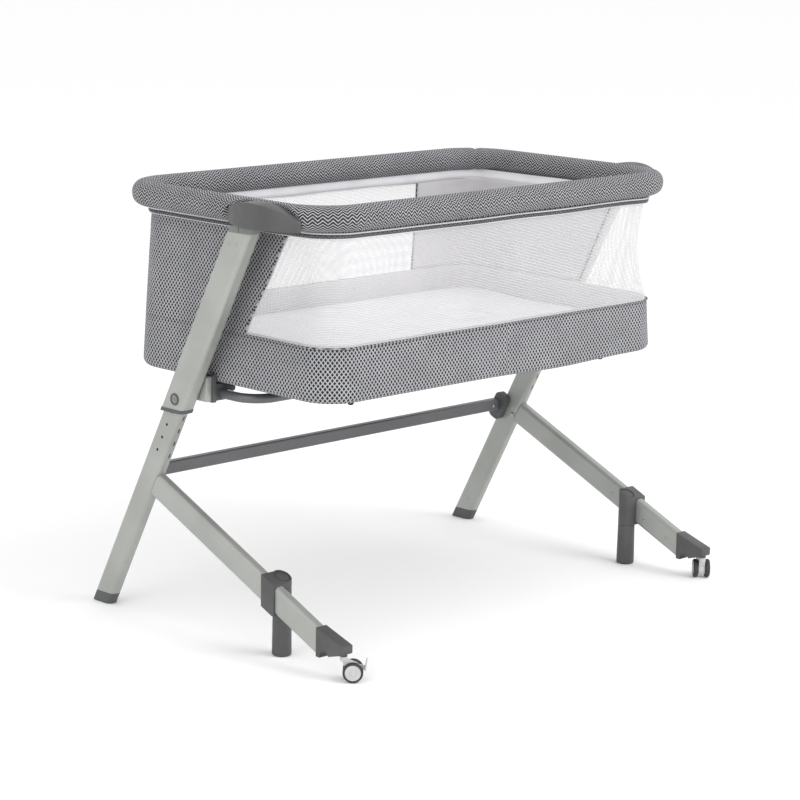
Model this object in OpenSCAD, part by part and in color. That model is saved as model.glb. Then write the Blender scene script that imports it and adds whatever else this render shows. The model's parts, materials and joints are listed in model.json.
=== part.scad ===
// Bassinet on stand: a padded fabric and mesh cradle that slides up and down
// two leaning end legs. Millimetres, +Z up, X along the cradle, the castered
// side at -Y. The left half is drawn; the right half is its mirror image.

/* [Stand] */
// Distance between the outer faces of the two end legs
leg_span = 920; // [860:1:1050]
// Depth over the back feet and the front casters
stand_depth = 660; // [600:1:760]
// Lean of the main legs from upright, in degrees
leg_lean = 27.7; // [24:0.1:29]
// Height of the front leg's centre line at its lower end
front_end_z = 54.1; // [50:0.1:60]
// Height at which the front leg's centre line meets the main leg's front face
joint_z = 235; // [215:1:250]

/* [Leg tubes] */
// Width of the leg tube, seen from the end
tube_w = 43; // [36:1:48]
// Thickness of the leg tube, along X
tube_t = 21; // [18:1:26]
// Corner radius of the leg tube
tube_r = 8; // [3:0.5:8.5]
// Wall of the leg tube
tube_wall = 1.6; // [1:0.1:3]
// Height of the back foot caps
foot_cap_h = 20; // [12:1:30]
// Length of the plugs that hold caps and housings in the tubes
plug_len = 25; // [12:1:40]

/* [Height adjustment] */
// Distance between two neighbouring adjustment holes
notch_pitch = 26.6; // [20:0.1:27]
// Notches below the height that is drawn
notches_down = 4; // [1:1:4]
// Notches above the height that is drawn
notches_up = 2; // [0:1:2]
// Radius of the adjustment holes in the outer face
notch_r = 2.6; // [2:0.1:4]
// Width and length of the slots in the front face
slot_size = [3, 9]; // [2:0.5:12]
// Radius of the bezel round the release button
bezel_r = 10.5; // [8:0.5:13]
// Radius of the release button
button_r = 7.2; // [5:0.1:7.5]

/* [Sleeve tubes] */
// Height of the sleeve's top edge
sleeve_top_z = 687; // [660:1:720]
// How far the sleeve reaches below the fabric shell's bottom edge
sleeve_drop = 46; // [40:1:50]
// Corner radius of the sleeve tube
sleeve_r = 8; // [3:0.5:10]
// Wall of the sleeve tube
sleeve_wall = 1.6; // [1:0.1:2.5]
// Height of the collar ring under the sleeve
collar_h = 6; // [3:0.5:12]
// How far the collar's rim stands out past the sleeve
collar_lip = 1; // [0.5:0.5:3]
// Length of the guide bush inside the sleeve
bush_len = 45; // [30:1:60]
// Wall of the guide bush, along X and across the leg's width
bush_wall = [1.6, 2.1]; // [1:0.1:4]
// Clearance between the guide bush and the leg tube, on each side
slide_gap = 0.3; // [0.2:0.05:0.6]

/* [Caster end] */
// Y distance from the tube's end to the caster stem
housing_run = 53; // [45:1:70]
// How far the housing is thicker than the tube
housing_extra = 1.6; // [0:0.2:4]
// Gap between the tops of the wheels and the housing
wheel_clear = 11; // [9:0.5:16]
// Radius of the caster wheels
wheel_r = 16.5; // [14:0.5:18]
// Width of one wheel
wheel_w = 9.5; // [7:0.5:12]
// Distance between the middles of the twin wheels
wheel_gap = 21; // [19:0.5:26]
// Distance from the stem to the axle, seen from above
caster_trail = 15; // [12:0.5:20]
// Swivel of the left caster from trailing towards +X, in degrees
caster_turn_left = -45; // [-180:5:180]
// Swivel of the right caster from trailing towards +X, in degrees
caster_turn_right = 45; // [-180:5:180]
// Radius of the caster stem
stem_r = 3.5; // [3:0.1:5]
// Running clearance of stems, axles and pins, on the radius
run_gap = 0.05; // [0.02:0.01:0.1]
// Radius of the caster axles
axle_r = 2.5; // [2:0.1:4]

/* [Support post] */
// Distance from the caster stem back to the support post's axis
post_behind = 166.5; // [150:0.5:190]
// Distance from the leg's outer face to the post's axis
post_inset = 29.6; // [27:0.1:34]
// Radius of the post's upper barrel
post_r = 15.4; // [13:0.1:18]
// How much wider the foot sleeve is at its base, on the radius
post_flare = 0.8; // [0:0.1:2]
// Clearance between the front leg's underside and the foot sleeve's seam
post_seam_gap = 0.5; // [0.3:0.1:6]
// Thickness of the collar round the front leg
post_wrap = 3; // [2:0.5:5]

/* [Crossbar] */
// Distance from the leg's centre line back to the crossbar
bar_behind = 25.2; // [18:0.1:32]
// Height of the crossbar's middle
bar_z = 248; // [235:1:255]
// Height of the crossbar's section
bar_h = 22; // [16:1:30]
// Depth of the crossbar's section
bar_d = 16; // [12:1:24]
// Length of the brackets that hold the crossbar, along the leg
bar_bracket_len = 54; // [40:1:70]

/* [Cradle] */
// Distance from a leg's outer face in to the rail's centre line
rail_inset = 34; // [33:1:60]
// Depth of the cradle over the rail's centre line
rail_dep = 482; // [440:1:510]
// How far the cradle's middle lies behind the leg's line at the rail
crib_behind = 104.8; // [85:0.1:120]
// Height of the rail's centre line above the top brackets' base
rail_rise = 21; // [14:1:32]
// Corner radius of the rail's centre line
rail_corner = 80; // [60:1:110]
// Width of the padded rail
pad_w = 46; // [38:1:54]
// Height of the padded rail
pad_h = 47; // [40:1:52]
// Radius of the steel tube inside the rail
rail_tube_r = 9.5; // [7:0.5:12]
// Height of the zip band under the rail
zip_h = 10; // [6:1:16]
// Drop of the fabric shell's bottom edge below the rail's centre line
shell_drop = 298; // [280:1:310]
// Height of the skirt, up to where the windows begin
skirt_h = 90; // [60:1:110]
// How far the shell's bottom ends lie inside the rail's centre line
shell_end_in = 12; // [8:1:40]
// How far the shell's bottom sides lie outside the rail's centre line
shell_side_out = 11; // [-5:1:16]
// Corner radius of the fabric shell
shell_corner = 68; // [40:1:90]
// How far the walls lean in from the shell's bottom to its top
shell_lean = 15; // [5:1:20]
// Thickness of the fabric walls
shell_wall = 4; // [3:0.5:8]
// Distance from the leg's centre line forward to the window's edge
window_edge = 44; // [34:1:80]
// Half the width of the window in the back wall
back_window = 265; // [150:1:280]
// Height of the back window's lower edge above the skirt
back_sill = 5; // [2:1:50]
// Thickness of the base board
board_t = 9; // [6:0.5:15]
// Thickness of the mattress
mattress_t = 40; // [25:1:60]
// Clearance round the mattress
mattress_gap = 6; // [3:1:15]

/* [Under-frame] */
// Radius of the tube under the base
under_r = 8; // [5:0.5:9]
// Drop of the under-frame's tube below the base
under_drop = 20; // [18:1:30]
// Distance from the cradle's middle forward to the tube's long run
under_ahead = 59; // [40:1:90]
// Bend radius of the under-frame's corners
under_corner = 45; // [25:1:55]
// Distance from the shell's end in to the tube's short arms
under_inset = 14; // [10:1:30]
// X and Y of the base feet
base_foot_at = [308, 192]; // [80:1:360]
// Radius of the base feet
base_foot_r = 5; // [4:0.5:10]
// How far the base feet stand below the base
base_foot_h = 21; // [8:1:25]

/* [Top brackets] */
// Length of the arched bracket along Y
bracket_len = 170; // [140:1:190]
// Height of the bracket at its crown
bracket_h = 42; // [38:1:50]
// Height of the bracket at its ends
bracket_end_h = 18; // [14:1:24]
// How far in front of the leg's line the bracket's middle lies
bracket_ahead = 20; // [0:1:24]
// Bow of the bracket's outer face, seen from above
bracket_bulge = 32; // [15:1:36]
// How far the bracket stands out past the sleeve's outer face
bracket_out = 10; // [4:1:16]
// Height of the socket's flange above the sleeve
flange_h = 11; // [6:1:16]
// Gap between the two halves of the socket
socket_gap = 1.2; // [0.5:0.1:2]

/* [Hidden] */
$fn = 48;
EPS = 0.01;
BIG = 2000;

leg_out_x = leg_span / 2;                  // outer face of a leg tube
leg_x = leg_out_x - tube_t / 2;            // middle plane of a leg
leg_foot_y = stand_depth / 2 - tube_w / 2 / cos(leg_lean);
sleeve_t = tube_t + 2 * (slide_gap + bush_wall[0] + sleeve_wall);
sleeve_w = tube_w + 2 * (slide_gap + bush_wall[1] + sleeve_wall);
sleeve_out_x = leg_x + sleeve_t / 2;
sleeve_in_x = leg_x - sleeve_t / 2;

// Y of the leg's centre line at height z
function leg_y(z) = leg_foot_y - z * tan(leg_lean);
// Distance along the leg's centre line at height z
function leg_s(z) = z / cos(leg_lean);
// The same for any point, and the point's distance behind the centre line
function along_leg(y, z) = z * cos(leg_lean) + (leg_foot_y - y) * sin(leg_lean);
function behind_leg(y, z) = (y - leg_foot_y) * cos(leg_lean) + z * sin(leg_lean);

tread_r = 2.2;                             // bevel on the tyres' shoulders
// How far the left caster's wheels reach in front of its stem
caster_reach = caster_trail * sin(-caster_turn_left)
    + wheel_r * abs(sin(caster_turn_left))
    + (wheel_gap + wheel_w) / 2 * abs(cos(caster_turn_left))
    - tread_r * min(abs(sin(caster_turn_left)), abs(cos(caster_turn_left)));
stem_y = -stand_depth / 2 + caster_reach;
tube_end_y = stem_y + housing_run;

joint_y = leg_y(joint_z) - tube_w / 2 / cos(leg_lean);
front_slope = atan((joint_z - front_end_z) / (joint_y - tube_end_y));
// Height of the front leg's centre line at y
function front_z(y) = joint_z + (y - joint_y) * tan(front_slope);
front_half = tube_w / 2 / cos(front_slope);   // half the front leg's upright height

bracket_bottom_z = sleeve_top_z + flange_h;
rail_z = bracket_bottom_z + rail_rise;
rail_len = leg_span - 2 * rail_inset;
crib_y = leg_y(rail_z) + crib_behind;
shell_bottom_z = rail_z - shell_drop;
shell_len = rail_len - 2 * shell_end_in;
shell_dep = rail_dep + 2 * shell_side_out;
skirt_top_z = shell_bottom_z + skirt_h;
back_window_z = skirt_top_z + back_sill;
sleeve_bottom_z = shell_bottom_z - sleeve_drop;
under_front_y = crib_y - under_ahead;
bar_y = leg_y(bar_z) + bar_behind / cos(leg_lean);

guide_top = 2;                             // head of the guide on the tube's top
guide_len = 22;
// The tube stops short of the socket's plug when the cradle is at its lowest.
tube_top_s = leg_s(sleeve_top_z - plug_len) - sleeve_w / 2 * tan(leg_lean)
    - notches_down * notch_pitch - guide_top - 4;
button_s = leg_s(sleeve_bottom_z) + 20;
button_gap = 0.3;
bezel_out = 1.8;                           // bezel's rim past the sleeve's face
button_t = 2;

rail_bottom_z = rail_z - pad_h / 2;
shell_top_z = rail_bottom_z - zip_h;         // where the walls meet the zip band
// How far the walls have leant in at height z
function shell_inset(z) = shell_lean * (z - shell_bottom_z) / (shell_top_z - shell_bottom_z);
board_z = shell_bottom_z + 4;
under_z = shell_bottom_z - under_drop + 0.5;
stub_h = 42;
stub_w = 31;
stub_z = shell_bottom_z - 30;
stub_y = leg_y(stub_z + stub_h / 2) - 22;
joint_gap = 1.5;                           // between the end skirt and the joint
joint_plate_t = 8;
joint_grip = 18;                           // how far the joint holds the tube's end
shell_end_x = shell_len / 2;
joint_in_x = shell_end_x + joint_gap;

bracket_y = leg_y(rail_z) - bracket_ahead;
bracket_face_x = sleeve_out_x + bracket_out;

post_x = leg_out_x - post_inset;
post_y = stem_y + post_behind;
post_seam_z = front_z(post_y) - front_half - post_r * tan(front_slope) - post_seam_gap;
post_top_z = front_z(post_y) + front_half + 4;
screw_r = 8;
screw_low_z = 14;

// ---------- helpers ----------

// Rounded rectangle, centred, with exact arcs
module rounded_rect(w, h, r) {
    square([w - 2 * r, h], center = true);
    square([w, h - 2 * r], center = true);
    for (i = [-1, 1], j = [-1, 1])
        translate([i * (w / 2 - r), j * (h / 2 - r)]) circle(r);
}

// Rounded rectangular ring with a wall of t
module rounded_ring(w, h, r, t) {
    difference() {
        rounded_rect(w, h, r);
        rounded_rect(w - 2 * t, h - 2 * t, max(r - t, 0.5));
    }
}

// Places children in the left leg's own frame: Z along the leg, Y to its rear
module in_leg_frame() {
    translate([-leg_x, leg_foot_y, 0]) rotate([leg_lean, 0, 0]) children();
}

// Places children in the left front leg's frame: Z down along the leg, Y to its top
module in_front_frame() {
    translate([-leg_x, joint_y, joint_z]) rotate([90 + front_slope, 0, 0]) children();
}

// A slab between two heights
module slab(z0, z1) {
    translate([-BIG / 2, -BIG / 2, z0]) cube([BIG, BIG, z1 - z0]);
}

// The right half's copy of a left-hand piece
module to_right() {
    mirror([1, 0, 0]) children();
}

// A leaning prism of the leg, cut level at two heights
module leaning_prism(z0, z1) {
    intersection() {
        in_leg_frame() translate([0, 0, -60]) linear_extrude(leg_s(z1) + 120) children();
        slab(z0, z1);
    }
}

// ---------- main legs ----------

module leg_tube() {
    color("#b2b4af") difference() {
        in_leg_frame() difference() {
            linear_extrude(tube_top_s) rounded_ring(tube_t, tube_w, tube_r, tube_wall);
            for (n = [-notches_down : notches_up]) {
                translate([-tube_t, 0, button_s + n * notch_pitch])
                    rotate([0, 90, 0]) cylinder(r = notch_r, h = tube_t);
                translate([-slot_size[0] / 2, -tube_w / 2 - 5,
                           button_s + n * notch_pitch - slot_size[1] / 2])
                    cube([slot_size[0], 10, slot_size[1]]);
            }
        }
        slab(-100, foot_cap_h);
    }
}

// Plastic guide on the tube's upper end that runs inside the sleeve
module leg_top_guide() {
    guide_t = sleeve_t - 2 * sleeve_wall - 2 * slide_gap;
    guide_w = sleeve_w - 2 * sleeve_wall - 2 * slide_gap;
    in_leg_frame() difference() {
        translate([0, 0, tube_top_s - guide_len]) linear_extrude(guide_len + guide_top)
            rounded_rect(guide_t, guide_w, sleeve_r - sleeve_wall);
        translate([0, 0, tube_top_s - guide_len - EPS]) linear_extrude(guide_len + EPS)
            rounded_rect(tube_t, tube_w, tube_r);
    }
}

module leg_top_guides() {
    color("#55585a") {
        leg_top_guide();
        to_right() leg_top_guide();
    }
}

module back_foot_cap() {
    color("#4a4a4a") {
        leaning_prism(0, foot_cap_h) rounded_rect(tube_t, tube_w, tube_r);
        leaning_prism(foot_cap_h, foot_cap_h + plug_len)
            rounded_rect(tube_t - 2 * tube_wall, tube_w - 2 * tube_wall, tube_r - tube_wall);
    }
}

// The front leg's section swept along its own line, from the main leg's face
module front_leg_sweep(reach) {
    difference() {
        in_front_frame() translate([0, 0, -60]) linear_extrude(reach + 60) children();
        in_leg_frame() translate([-50, -tube_w / 2, -BIG / 2]) cube([100, 300, BIG]);
    }
}

module front_leg_tube() {
    color("#b2b4af") difference() {
        front_leg_sweep(600) rounded_ring(tube_t, tube_w, tube_r, tube_wall);
        translate([-BIG / 2, tube_end_y - BIG, -BIG / 2]) cube([BIG, BIG, BIG]);
    }
}

// ---------- caster housing ----------

housing_t = tube_t + housing_extra;
housing_top_z = front_z(tube_end_y) + front_half;
housing_low_z = front_z(tube_end_y) - front_half;
housing_stem_z = 2 * wheel_r + wheel_clear;  // underside at the stem
housing_tip_y = stem_y - stem_r - 4.5;
housing_tip_z = housing_stem_z + 12;
boss_r = 6;
boss_low_z = housing_stem_z - 3.5;
stem_len = 12;

// Side profile in Y and Z: a slanting nose with a hollow in its underside
module housing_profile() {
    difference() {
        polygon([
            [tube_end_y, housing_low_z],
            [tube_end_y, housing_top_z],
            [housing_tip_y, housing_tip_z + 2],
            [housing_tip_y, housing_stem_z + 2],
            [housing_tip_y + 2, housing_stem_z],
            [tube_end_y - 9, housing_low_z - 1],
            [tube_end_y - 3, housing_low_z - 1]
        ]);
        translate([tube_end_y - 19, housing_low_z + 2]) circle(10);
    }
}

module caster_housing() {
    color("#686868") {
        difference() {
            union() {
                translate([-leg_x - housing_t / 2, 0, 0])
                    rotate([90, 0, 90]) linear_extrude(housing_t) housing_profile();
                translate([-leg_x, stem_y, boss_low_z])
                    cylinder(r = boss_r, h = housing_stem_z + 4 - boss_low_z);
            }
            translate([-leg_x, stem_y, boss_low_z - 1])
                cylinder(r = stem_r + run_gap, h = stem_len + 1);
        }
        intersection() {
            front_leg_sweep(600) rounded_rect(tube_t - 2 * tube_wall,
                tube_w - 2 * tube_wall, tube_r - tube_wall);
            translate([-BIG / 2, tube_end_y, -BIG / 2]) cube([BIG, plug_len, BIG]);
        }
    }
}

// ---------- support post ----------

// The collar's block, wrapping the front leg over the post's width
module post_wrap_block() {
    half = front_half + post_wrap;
    skew = post_r * tan(front_slope);
    translate([-leg_out_x - post_wrap, 0, 0]) rotate([90, 0, 90])
        linear_extrude(post_inset + post_wrap) polygon([
            [post_y - post_r, front_z(post_y) - half - skew],
            [post_y + post_r, front_z(post_y) - half + skew],
            [post_y + post_r, front_z(post_y) + half + skew],
            [post_y - post_r, front_z(post_y) + half - skew]
        ]);
}

module post_top_cut() {
    translate([-post_x, post_y, post_top_z]) rotate([front_slope, 0, 0])
        translate([-60, -60, 0]) cube([120, 120, 80]);
}

module post_barrel() {
    color("#686868") difference() {
        union() {
            intersection() {
                post_wrap_block();
                slab(post_seam_z, BIG / 2);
            }
            translate([-post_x, post_y, post_seam_z])
                cylinder(r = post_r, h = post_top_z + 30 - post_seam_z);
        }
        post_top_cut();
        translate([-post_x, post_y, post_top_z]) rotate([front_slope, 0, 0])
            translate([0, 0, -2.5]) cylinder(r = post_r - 2.5, h = 10);
        front_leg_sweep(600) rounded_rect(tube_t, tube_w, tube_r);
        translate([-post_x, post_y, post_seam_z - 1]) cylinder(r = screw_r, h = 5);
    }
}

module post_top_disc() {
    color("#747474") translate([-post_x, post_y, post_top_z]) rotate([front_slope, 0, 0])
        translate([0, 0, -2.5]) cylinder(r = post_r - 3, h = 2);
}

module post_top_discs() {
    post_top_disc();
    to_right() post_top_disc();
}

module post_screw() {
    translate([-post_x, post_y, screw_low_z]) cylinder(r = screw_r, h = post_seam_z + 4 - screw_low_z);
}

module post_screws() {
    color("#9a9a9a") {
        post_screw();
        to_right() post_screw();
    }
}

module post_foot() {
    color("#686868") translate([-post_x, post_y, 0]) difference() {
        rotate_extrude() polygon([
            [0, 0], [post_r + post_flare - 3, 0], [post_r + post_flare - 0.8, 0.9],
            [post_r + post_flare, 3], [post_r, post_seam_z - 0.3], [0, post_seam_z - 0.3]
        ]);
        translate([0, 0, screw_low_z]) cylinder(r = screw_r + run_gap, h = post_seam_z);
    }
}

// ---------- crossbar ----------

bar_bracket_t = 12;
bar_r = 3;
bar_wall = 1.5;
bar_half = leg_x - tube_t / 2 - bar_bracket_t;

module crossbar() {
    color("#6c6c6e") translate([-bar_half, bar_y, bar_z]) rotate([90, 0, 90])
        linear_extrude(2 * bar_half) rounded_ring(bar_d, bar_h, bar_r, bar_wall);
}

module crossbar_bracket() {
    color("#4f4f50") {
        in_leg_frame()
            translate([tube_t / 2, behind_leg(bar_y, bar_z) - 6, along_leg(bar_y, bar_z)])
                rotate([0, 90, 0]) linear_extrude(bar_bracket_t)
                    rounded_rect(bar_bracket_len, bar_d + 14, 11);
        translate([-bar_half - 3, bar_y, bar_z]) rotate([90, 0, 90])
            linear_extrude(plug_len + 3) rounded_rect(bar_d - 2 * bar_wall,
                bar_h - 2 * bar_wall, bar_r - bar_wall);
    }
}

// A small domed rivet head, its axis along +X
module rivet(r, h) {
    rotate([0, 90, 0]) {
        cylinder(r = r, h = h * 0.5);
        translate([0, 0, h * 0.5]) cylinder(r1 = r, r2 = r * 0.55, h = h * 0.5);
    }
}

front_rivet_y = [post_y + 47, post_y - 35, post_y - 87];

module frame_rivets_left() {
    // heads on the legs' inner faces
    for (y = front_rivet_y)
        translate([-leg_x + tube_t / 2, y, front_z(y) - 4]) rivet(2.6, 1.4);
    translate([-leg_x + tube_t / 2, leg_y(42), 42]) rivet(2.6, 1.4);
    translate([-leg_x + tube_t / 2, joint_y + 12, joint_z - 4]) rivet(4.2, 2.4);
    // screws in the crossbar's front face
    translate([-bar_half + 13, bar_y - bar_d / 2, bar_z - 2]) rotate([0, 0, -90]) rivet(3.2, 1.6);
}

module frame_rivets() {
    color("#8c8c8c") {
        frame_rivets_left();
        to_right() frame_rivets_left();
    }
}

// ---------- casters ----------
// Drawn trailing towards +X with the stem on the Z axis

fork_t = wheel_gap - wheel_w - 0.8;
fork_top_z = boss_low_z - 0.5;
brake_pin_at = [caster_trail + 9, wheel_r + 8];
brake_pin_r = 1.5;
fork_slot_w = 6;
paddle_x = caster_trail + wheel_r + 1.2;
paddle_w = 14;

module place_caster(side) {
    turn = side < 0 ? caster_turn_left : caster_turn_right;
    translate([side * leg_x, stem_y, 0]) rotate([0, 0, turn]) children();
}

// Fork profile in X and Z
module fork_profile() {
    translate([caster_trail, wheel_r]) circle(wheel_r * 0.72);
    polygon([
        [1.5 - boss_r, fork_top_z - 4], [boss_r - 1.5, fork_top_z - 4],
        [caster_trail + 8, wheel_r + 12], [caster_trail, wheel_r],
        [caster_trail - 10, wheel_r + 3]
    ]);
}

module caster_fork() {
    color("#c4c4c2") difference() {
        union() {
            translate([0, fork_t / 2, 0]) rotate([90, 0, 0])
                linear_extrude(fork_t) fork_profile();
            translate([0, 0, fork_top_z - 7]) cylinder(r = boss_r, h = 7);
            translate([0, 0, fork_top_z - 1]) cylinder(r = stem_r, h = stem_len + 0.5);
        }
        translate([caster_trail, fork_t, wheel_r]) rotate([90, 0, 0])
            cylinder(r = axle_r + run_gap, h = 2 * fork_t);
        // slot for the brake lever's root, and the hole for its pin
        translate([brake_pin_at[0] - 6, -fork_slot_w / 2, brake_pin_at[1] - 9])
            cube([20, fork_slot_w, 20]);
        translate([brake_pin_at[0], fork_t, brake_pin_at[1]]) rotate([90, 0, 0])
            cylinder(r = brake_pin_r, h = 2 * fork_t);
    }
}

module caster_axle() {
    len = wheel_gap + wheel_w - 3;
    color("#a8a8a8") translate([caster_trail, len / 2, wheel_r]) rotate([90, 0, 0])
        cylinder(r = axle_r, h = len);
}

// Runs its children at the middle of each of the twin wheels, axis along +Z
module each_wheel() {
    for (side = [-1, 1])
        translate([caster_trail, side * wheel_gap / 2, wheel_r])
            rotate([-90 * side, 0, 0]) children();
}

hub_r = wheel_r - 3.6;

module caster_tyres() {
    color("#3c3c3c") each_wheel() rotate_extrude() difference() {
        translate([hub_r, -wheel_w / 2]) polygon([
            [0, 0], [wheel_r - hub_r - tread_r, 0], [wheel_r - hub_r, tread_r],
            [wheel_r - hub_r, wheel_w - tread_r], [wheel_r - hub_r - tread_r, wheel_w],
            [0, wheel_w]
        ]);
    }
}

module caster_hubs() {
    color("#c8c8c8") each_wheel() difference() {
        union() {
            translate([0, 0, -wheel_w / 2]) cylinder(r = hub_r, h = wheel_w - 0.6);
            translate([0, 0, wheel_w / 2 - 0.6]) cylinder(r = 4.2, h = 1);
        }
        translate([0, 0, -wheel_w]) cylinder(r = axle_r, h = 1.5 * wheel_w - 1.5);
    }
}

module brake_pin() {
    color("#a8a8a8") translate([brake_pin_at[0], fork_t / 2, brake_pin_at[1]])
        rotate([90, 0, 0]) cylinder(r = brake_pin_r, h = fork_t);
}

// A foot paddle beyond the wheels on an arm that runs between them
module brake_lever() {
    arm_t = fork_slot_w - 0.8;
    color("#c4c4c2") {
        difference() {
            translate([0, arm_t / 2, 0]) rotate([90, 0, 0]) linear_extrude(arm_t) {
                translate(brake_pin_at) circle(3.2);
                polygon([
                    [brake_pin_at[0], brake_pin_at[1] + 3], [paddle_x + 1, brake_pin_at[1] + 1],
                    [paddle_x + 1, brake_pin_at[1] - 4], [brake_pin_at[0], brake_pin_at[1] - 3]
                ]);
            }
            translate([brake_pin_at[0], fork_t, brake_pin_at[1]]) rotate([90, 0, 0])
                cylinder(r = brake_pin_r + run_gap, h = 2 * fork_t);
        }
        translate([0, paddle_w / 2, 0]) rotate([90, 0, 0]) linear_extrude(paddle_w) polygon([
            [paddle_x, brake_pin_at[1] - 6], [paddle_x + 2.4, brake_pin_at[1] - 6.5],
            [paddle_x + 5.5, brake_pin_at[1] + 11.5], [paddle_x + 3.4, brake_pin_at[1] + 12.5]
        ]);
    }
}

// ---------- sleeves ----------

module sleeve_tube() {
    color("#b7b9b4") difference() {
        leaning_prism(sleeve_bottom_z, sleeve_top_z)
            rounded_ring(sleeve_t, sleeve_w, sleeve_r, sleeve_wall);
        in_leg_frame() translate([-sleeve_t, 0, button_s])
            rotate([0, 90, 0]) cylinder(r = bezel_r - 1.5, h = sleeve_t);
    }
}

// The ring under the sleeve and the guide bush that it carries inside
module sleeve_collar() {
    hole_w = tube_w + 2 * slide_gap;
    hole_t = tube_t + 2 * slide_gap;
    color("#55585a") difference() {
        union() {
            leaning_prism(sleeve_bottom_z - collar_h, sleeve_bottom_z)
                rounded_rect(sleeve_t + 2 * collar_lip, sleeve_w + 2 * collar_lip,
                    sleeve_r + collar_lip);
            leaning_prism(sleeve_bottom_z, sleeve_bottom_z + bush_len)
                rounded_rect(sleeve_t - 2 * sleeve_wall, sleeve_w - 2 * sleeve_wall,
                    sleeve_r - sleeve_wall);
        }
        in_leg_frame() linear_extrude(BIG) rounded_rect(hole_t, hole_w, tube_r + slide_gap);
        in_leg_frame() translate([-sleeve_t, 0, button_s])
            rotate([0, 90, 0]) cylinder(r = bezel_r - 1.5, h = sleeve_t);
    }
}

// The button's axis points out of the sleeve's outer face, along its own +Z
module in_button_frame() {
    in_leg_frame() translate([-sleeve_t / 2, 0, button_s]) rotate([0, -90, 0]) children();
}

module button_bezel() {
    color("#4d4f50") in_button_frame() difference() {
        union() {
            cylinder(r1 = bezel_r, r2 = bezel_r - 0.8, h = bezel_out);
            translate([0, 0, -sleeve_wall]) cylinder(r = bezel_r - 1.5, h = sleeve_wall);
        }
        translate([0, 0, -5]) cylinder(r = button_r + button_gap, h = 10);
    }
}

module release_button() {
    color("#86888a") in_button_frame() difference() {
        translate([0, 0, -1]) cylinder(r = button_r, h = button_t);
        for (a = [0, 90]) rotate([0, 0, a + 20])
            translate([-4, -0.7, button_t - 1.6]) cube([8, 1.4, 1]);
    }
}

// ---------- top brackets ----------

// The plug in the sleeve's top and its split flange, cut level
module bracket_socket() {
    color("#6e706c") difference() {
        union() {
            leaning_prism(sleeve_top_z, bracket_bottom_z)
                rounded_rect(sleeve_t, sleeve_w, sleeve_r);
            leaning_prism(sleeve_top_z - plug_len, sleeve_top_z)
                rounded_rect(sleeve_t - 2 * sleeve_wall, sleeve_w - 2 * sleeve_wall,
                    sleeve_r - sleeve_wall);
        }
        translate([-sleeve_out_x - 1, leg_y(sleeve_top_z) - 4, sleeve_top_z + 0.8])
            cube([6, socket_gap, flange_h]);
    }
}

// Arch seen from the end of the cradle: flat base, curved crown
module bracket_arch() {
    rise = bracket_h - bracket_end_h;
    half = bracket_len / 2;
    crown_r = (half * half + rise * rise) / (2 * rise);
    intersection() {
        translate([-half, 0]) square([bracket_len, bracket_h]);
        translate([0, bracket_h - crown_r]) circle(crown_r, $fn = 180);
    }
}

// Bow seen from above: flat inside, curved outside
module bracket_bow(inner_x) {
    half = bracket_len / 2;
    bow_r = (half * half + bracket_bulge * bracket_bulge) / (2 * bracket_bulge);
    intersection() {
        translate([-bracket_face_x, -half]) square([bracket_face_x - inner_x, bracket_len]);
        translate([bow_r - bracket_face_x, 0]) circle(bow_r, $fn = 180);
    }
}

module bracket_solid(inner_x) {
    translate([0, bracket_y, bracket_bottom_z]) intersection() {
        translate([-bracket_face_x, 0, 0]) rotate([90, 0, 90])
            linear_extrude(2 * bracket_face_x - 2 * inner_x) bracket_arch();
        linear_extrude(bracket_h) bracket_bow(inner_x);
    }
}

bracket_in_x = rail_len / 2 + rail_tube_r;
socket_clear = 0.4;                        // between the socket and the padding

module bracket_cover() {
    color("#686868") bracket_solid(bracket_in_x);
}

module sleeve_rivets_left() {
    for (t = [-7, 9])
        in_leg_frame() translate([-sleeve_t / 2, t, leg_s(sleeve_top_z) - 22 - t * 0.5])
            rotate([0, 0, 180]) rivet(2.4, 1.2);
}

module sleeve_rivets() {
    color("#9a9c98") {
        sleeve_rivets_left();
        to_right() sleeve_rivets_left();
    }
}

// ---------- under-frame ----------

// A box welded on the sleeve's inner face, in front of the leg's line
module sleeve_stub() {
    translate([-sleeve_in_x, stub_y - stub_w / 2, stub_z])
        cube([sleeve_in_x - joint_in_x - joint_plate_t, stub_w, stub_h]);
}

module sleeve_stubs() {
    color("#b7b9b4") {
        sleeve_stub();
        to_right() sleeve_stub();
    }
}

arm_x = shell_end_x - under_inset;           // short arms of the under-frame
arm_end_y = stub_y - stub_w / 2 + joint_grip;
saddle_x = 250;
saddle_len = 24;
saddle_w = 2 * under_r - 3;

// Plastic joint beside the end skirt, with a socket that holds the tube's arm
module base_joint() {
    block_in_x = arm_x - under_r - 3;
    color("#5a5c5d") difference() {
        union() {
            translate([-joint_in_x - joint_plate_t, stub_y - stub_w / 2 - 2, stub_z - 2])
                cube([joint_plate_t, stub_w + 4, stub_h + 4]);
            translate([-joint_in_x, stub_y - stub_w / 2, stub_z])
                cube([joint_in_x - block_in_x, stub_w, shell_bottom_z - 2 - stub_z]);
            translate([-block_in_x, stub_y, shell_bottom_z - 9]) rotate([90, 0, 0])
                cylinder(r = 5, h = stub_w / 2 + 14);
        }
        translate([-arm_x, arm_end_y, under_z]) rotate([90, 0, 0])
            cylinder(r = under_r, h = 100);
    }
}

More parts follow.
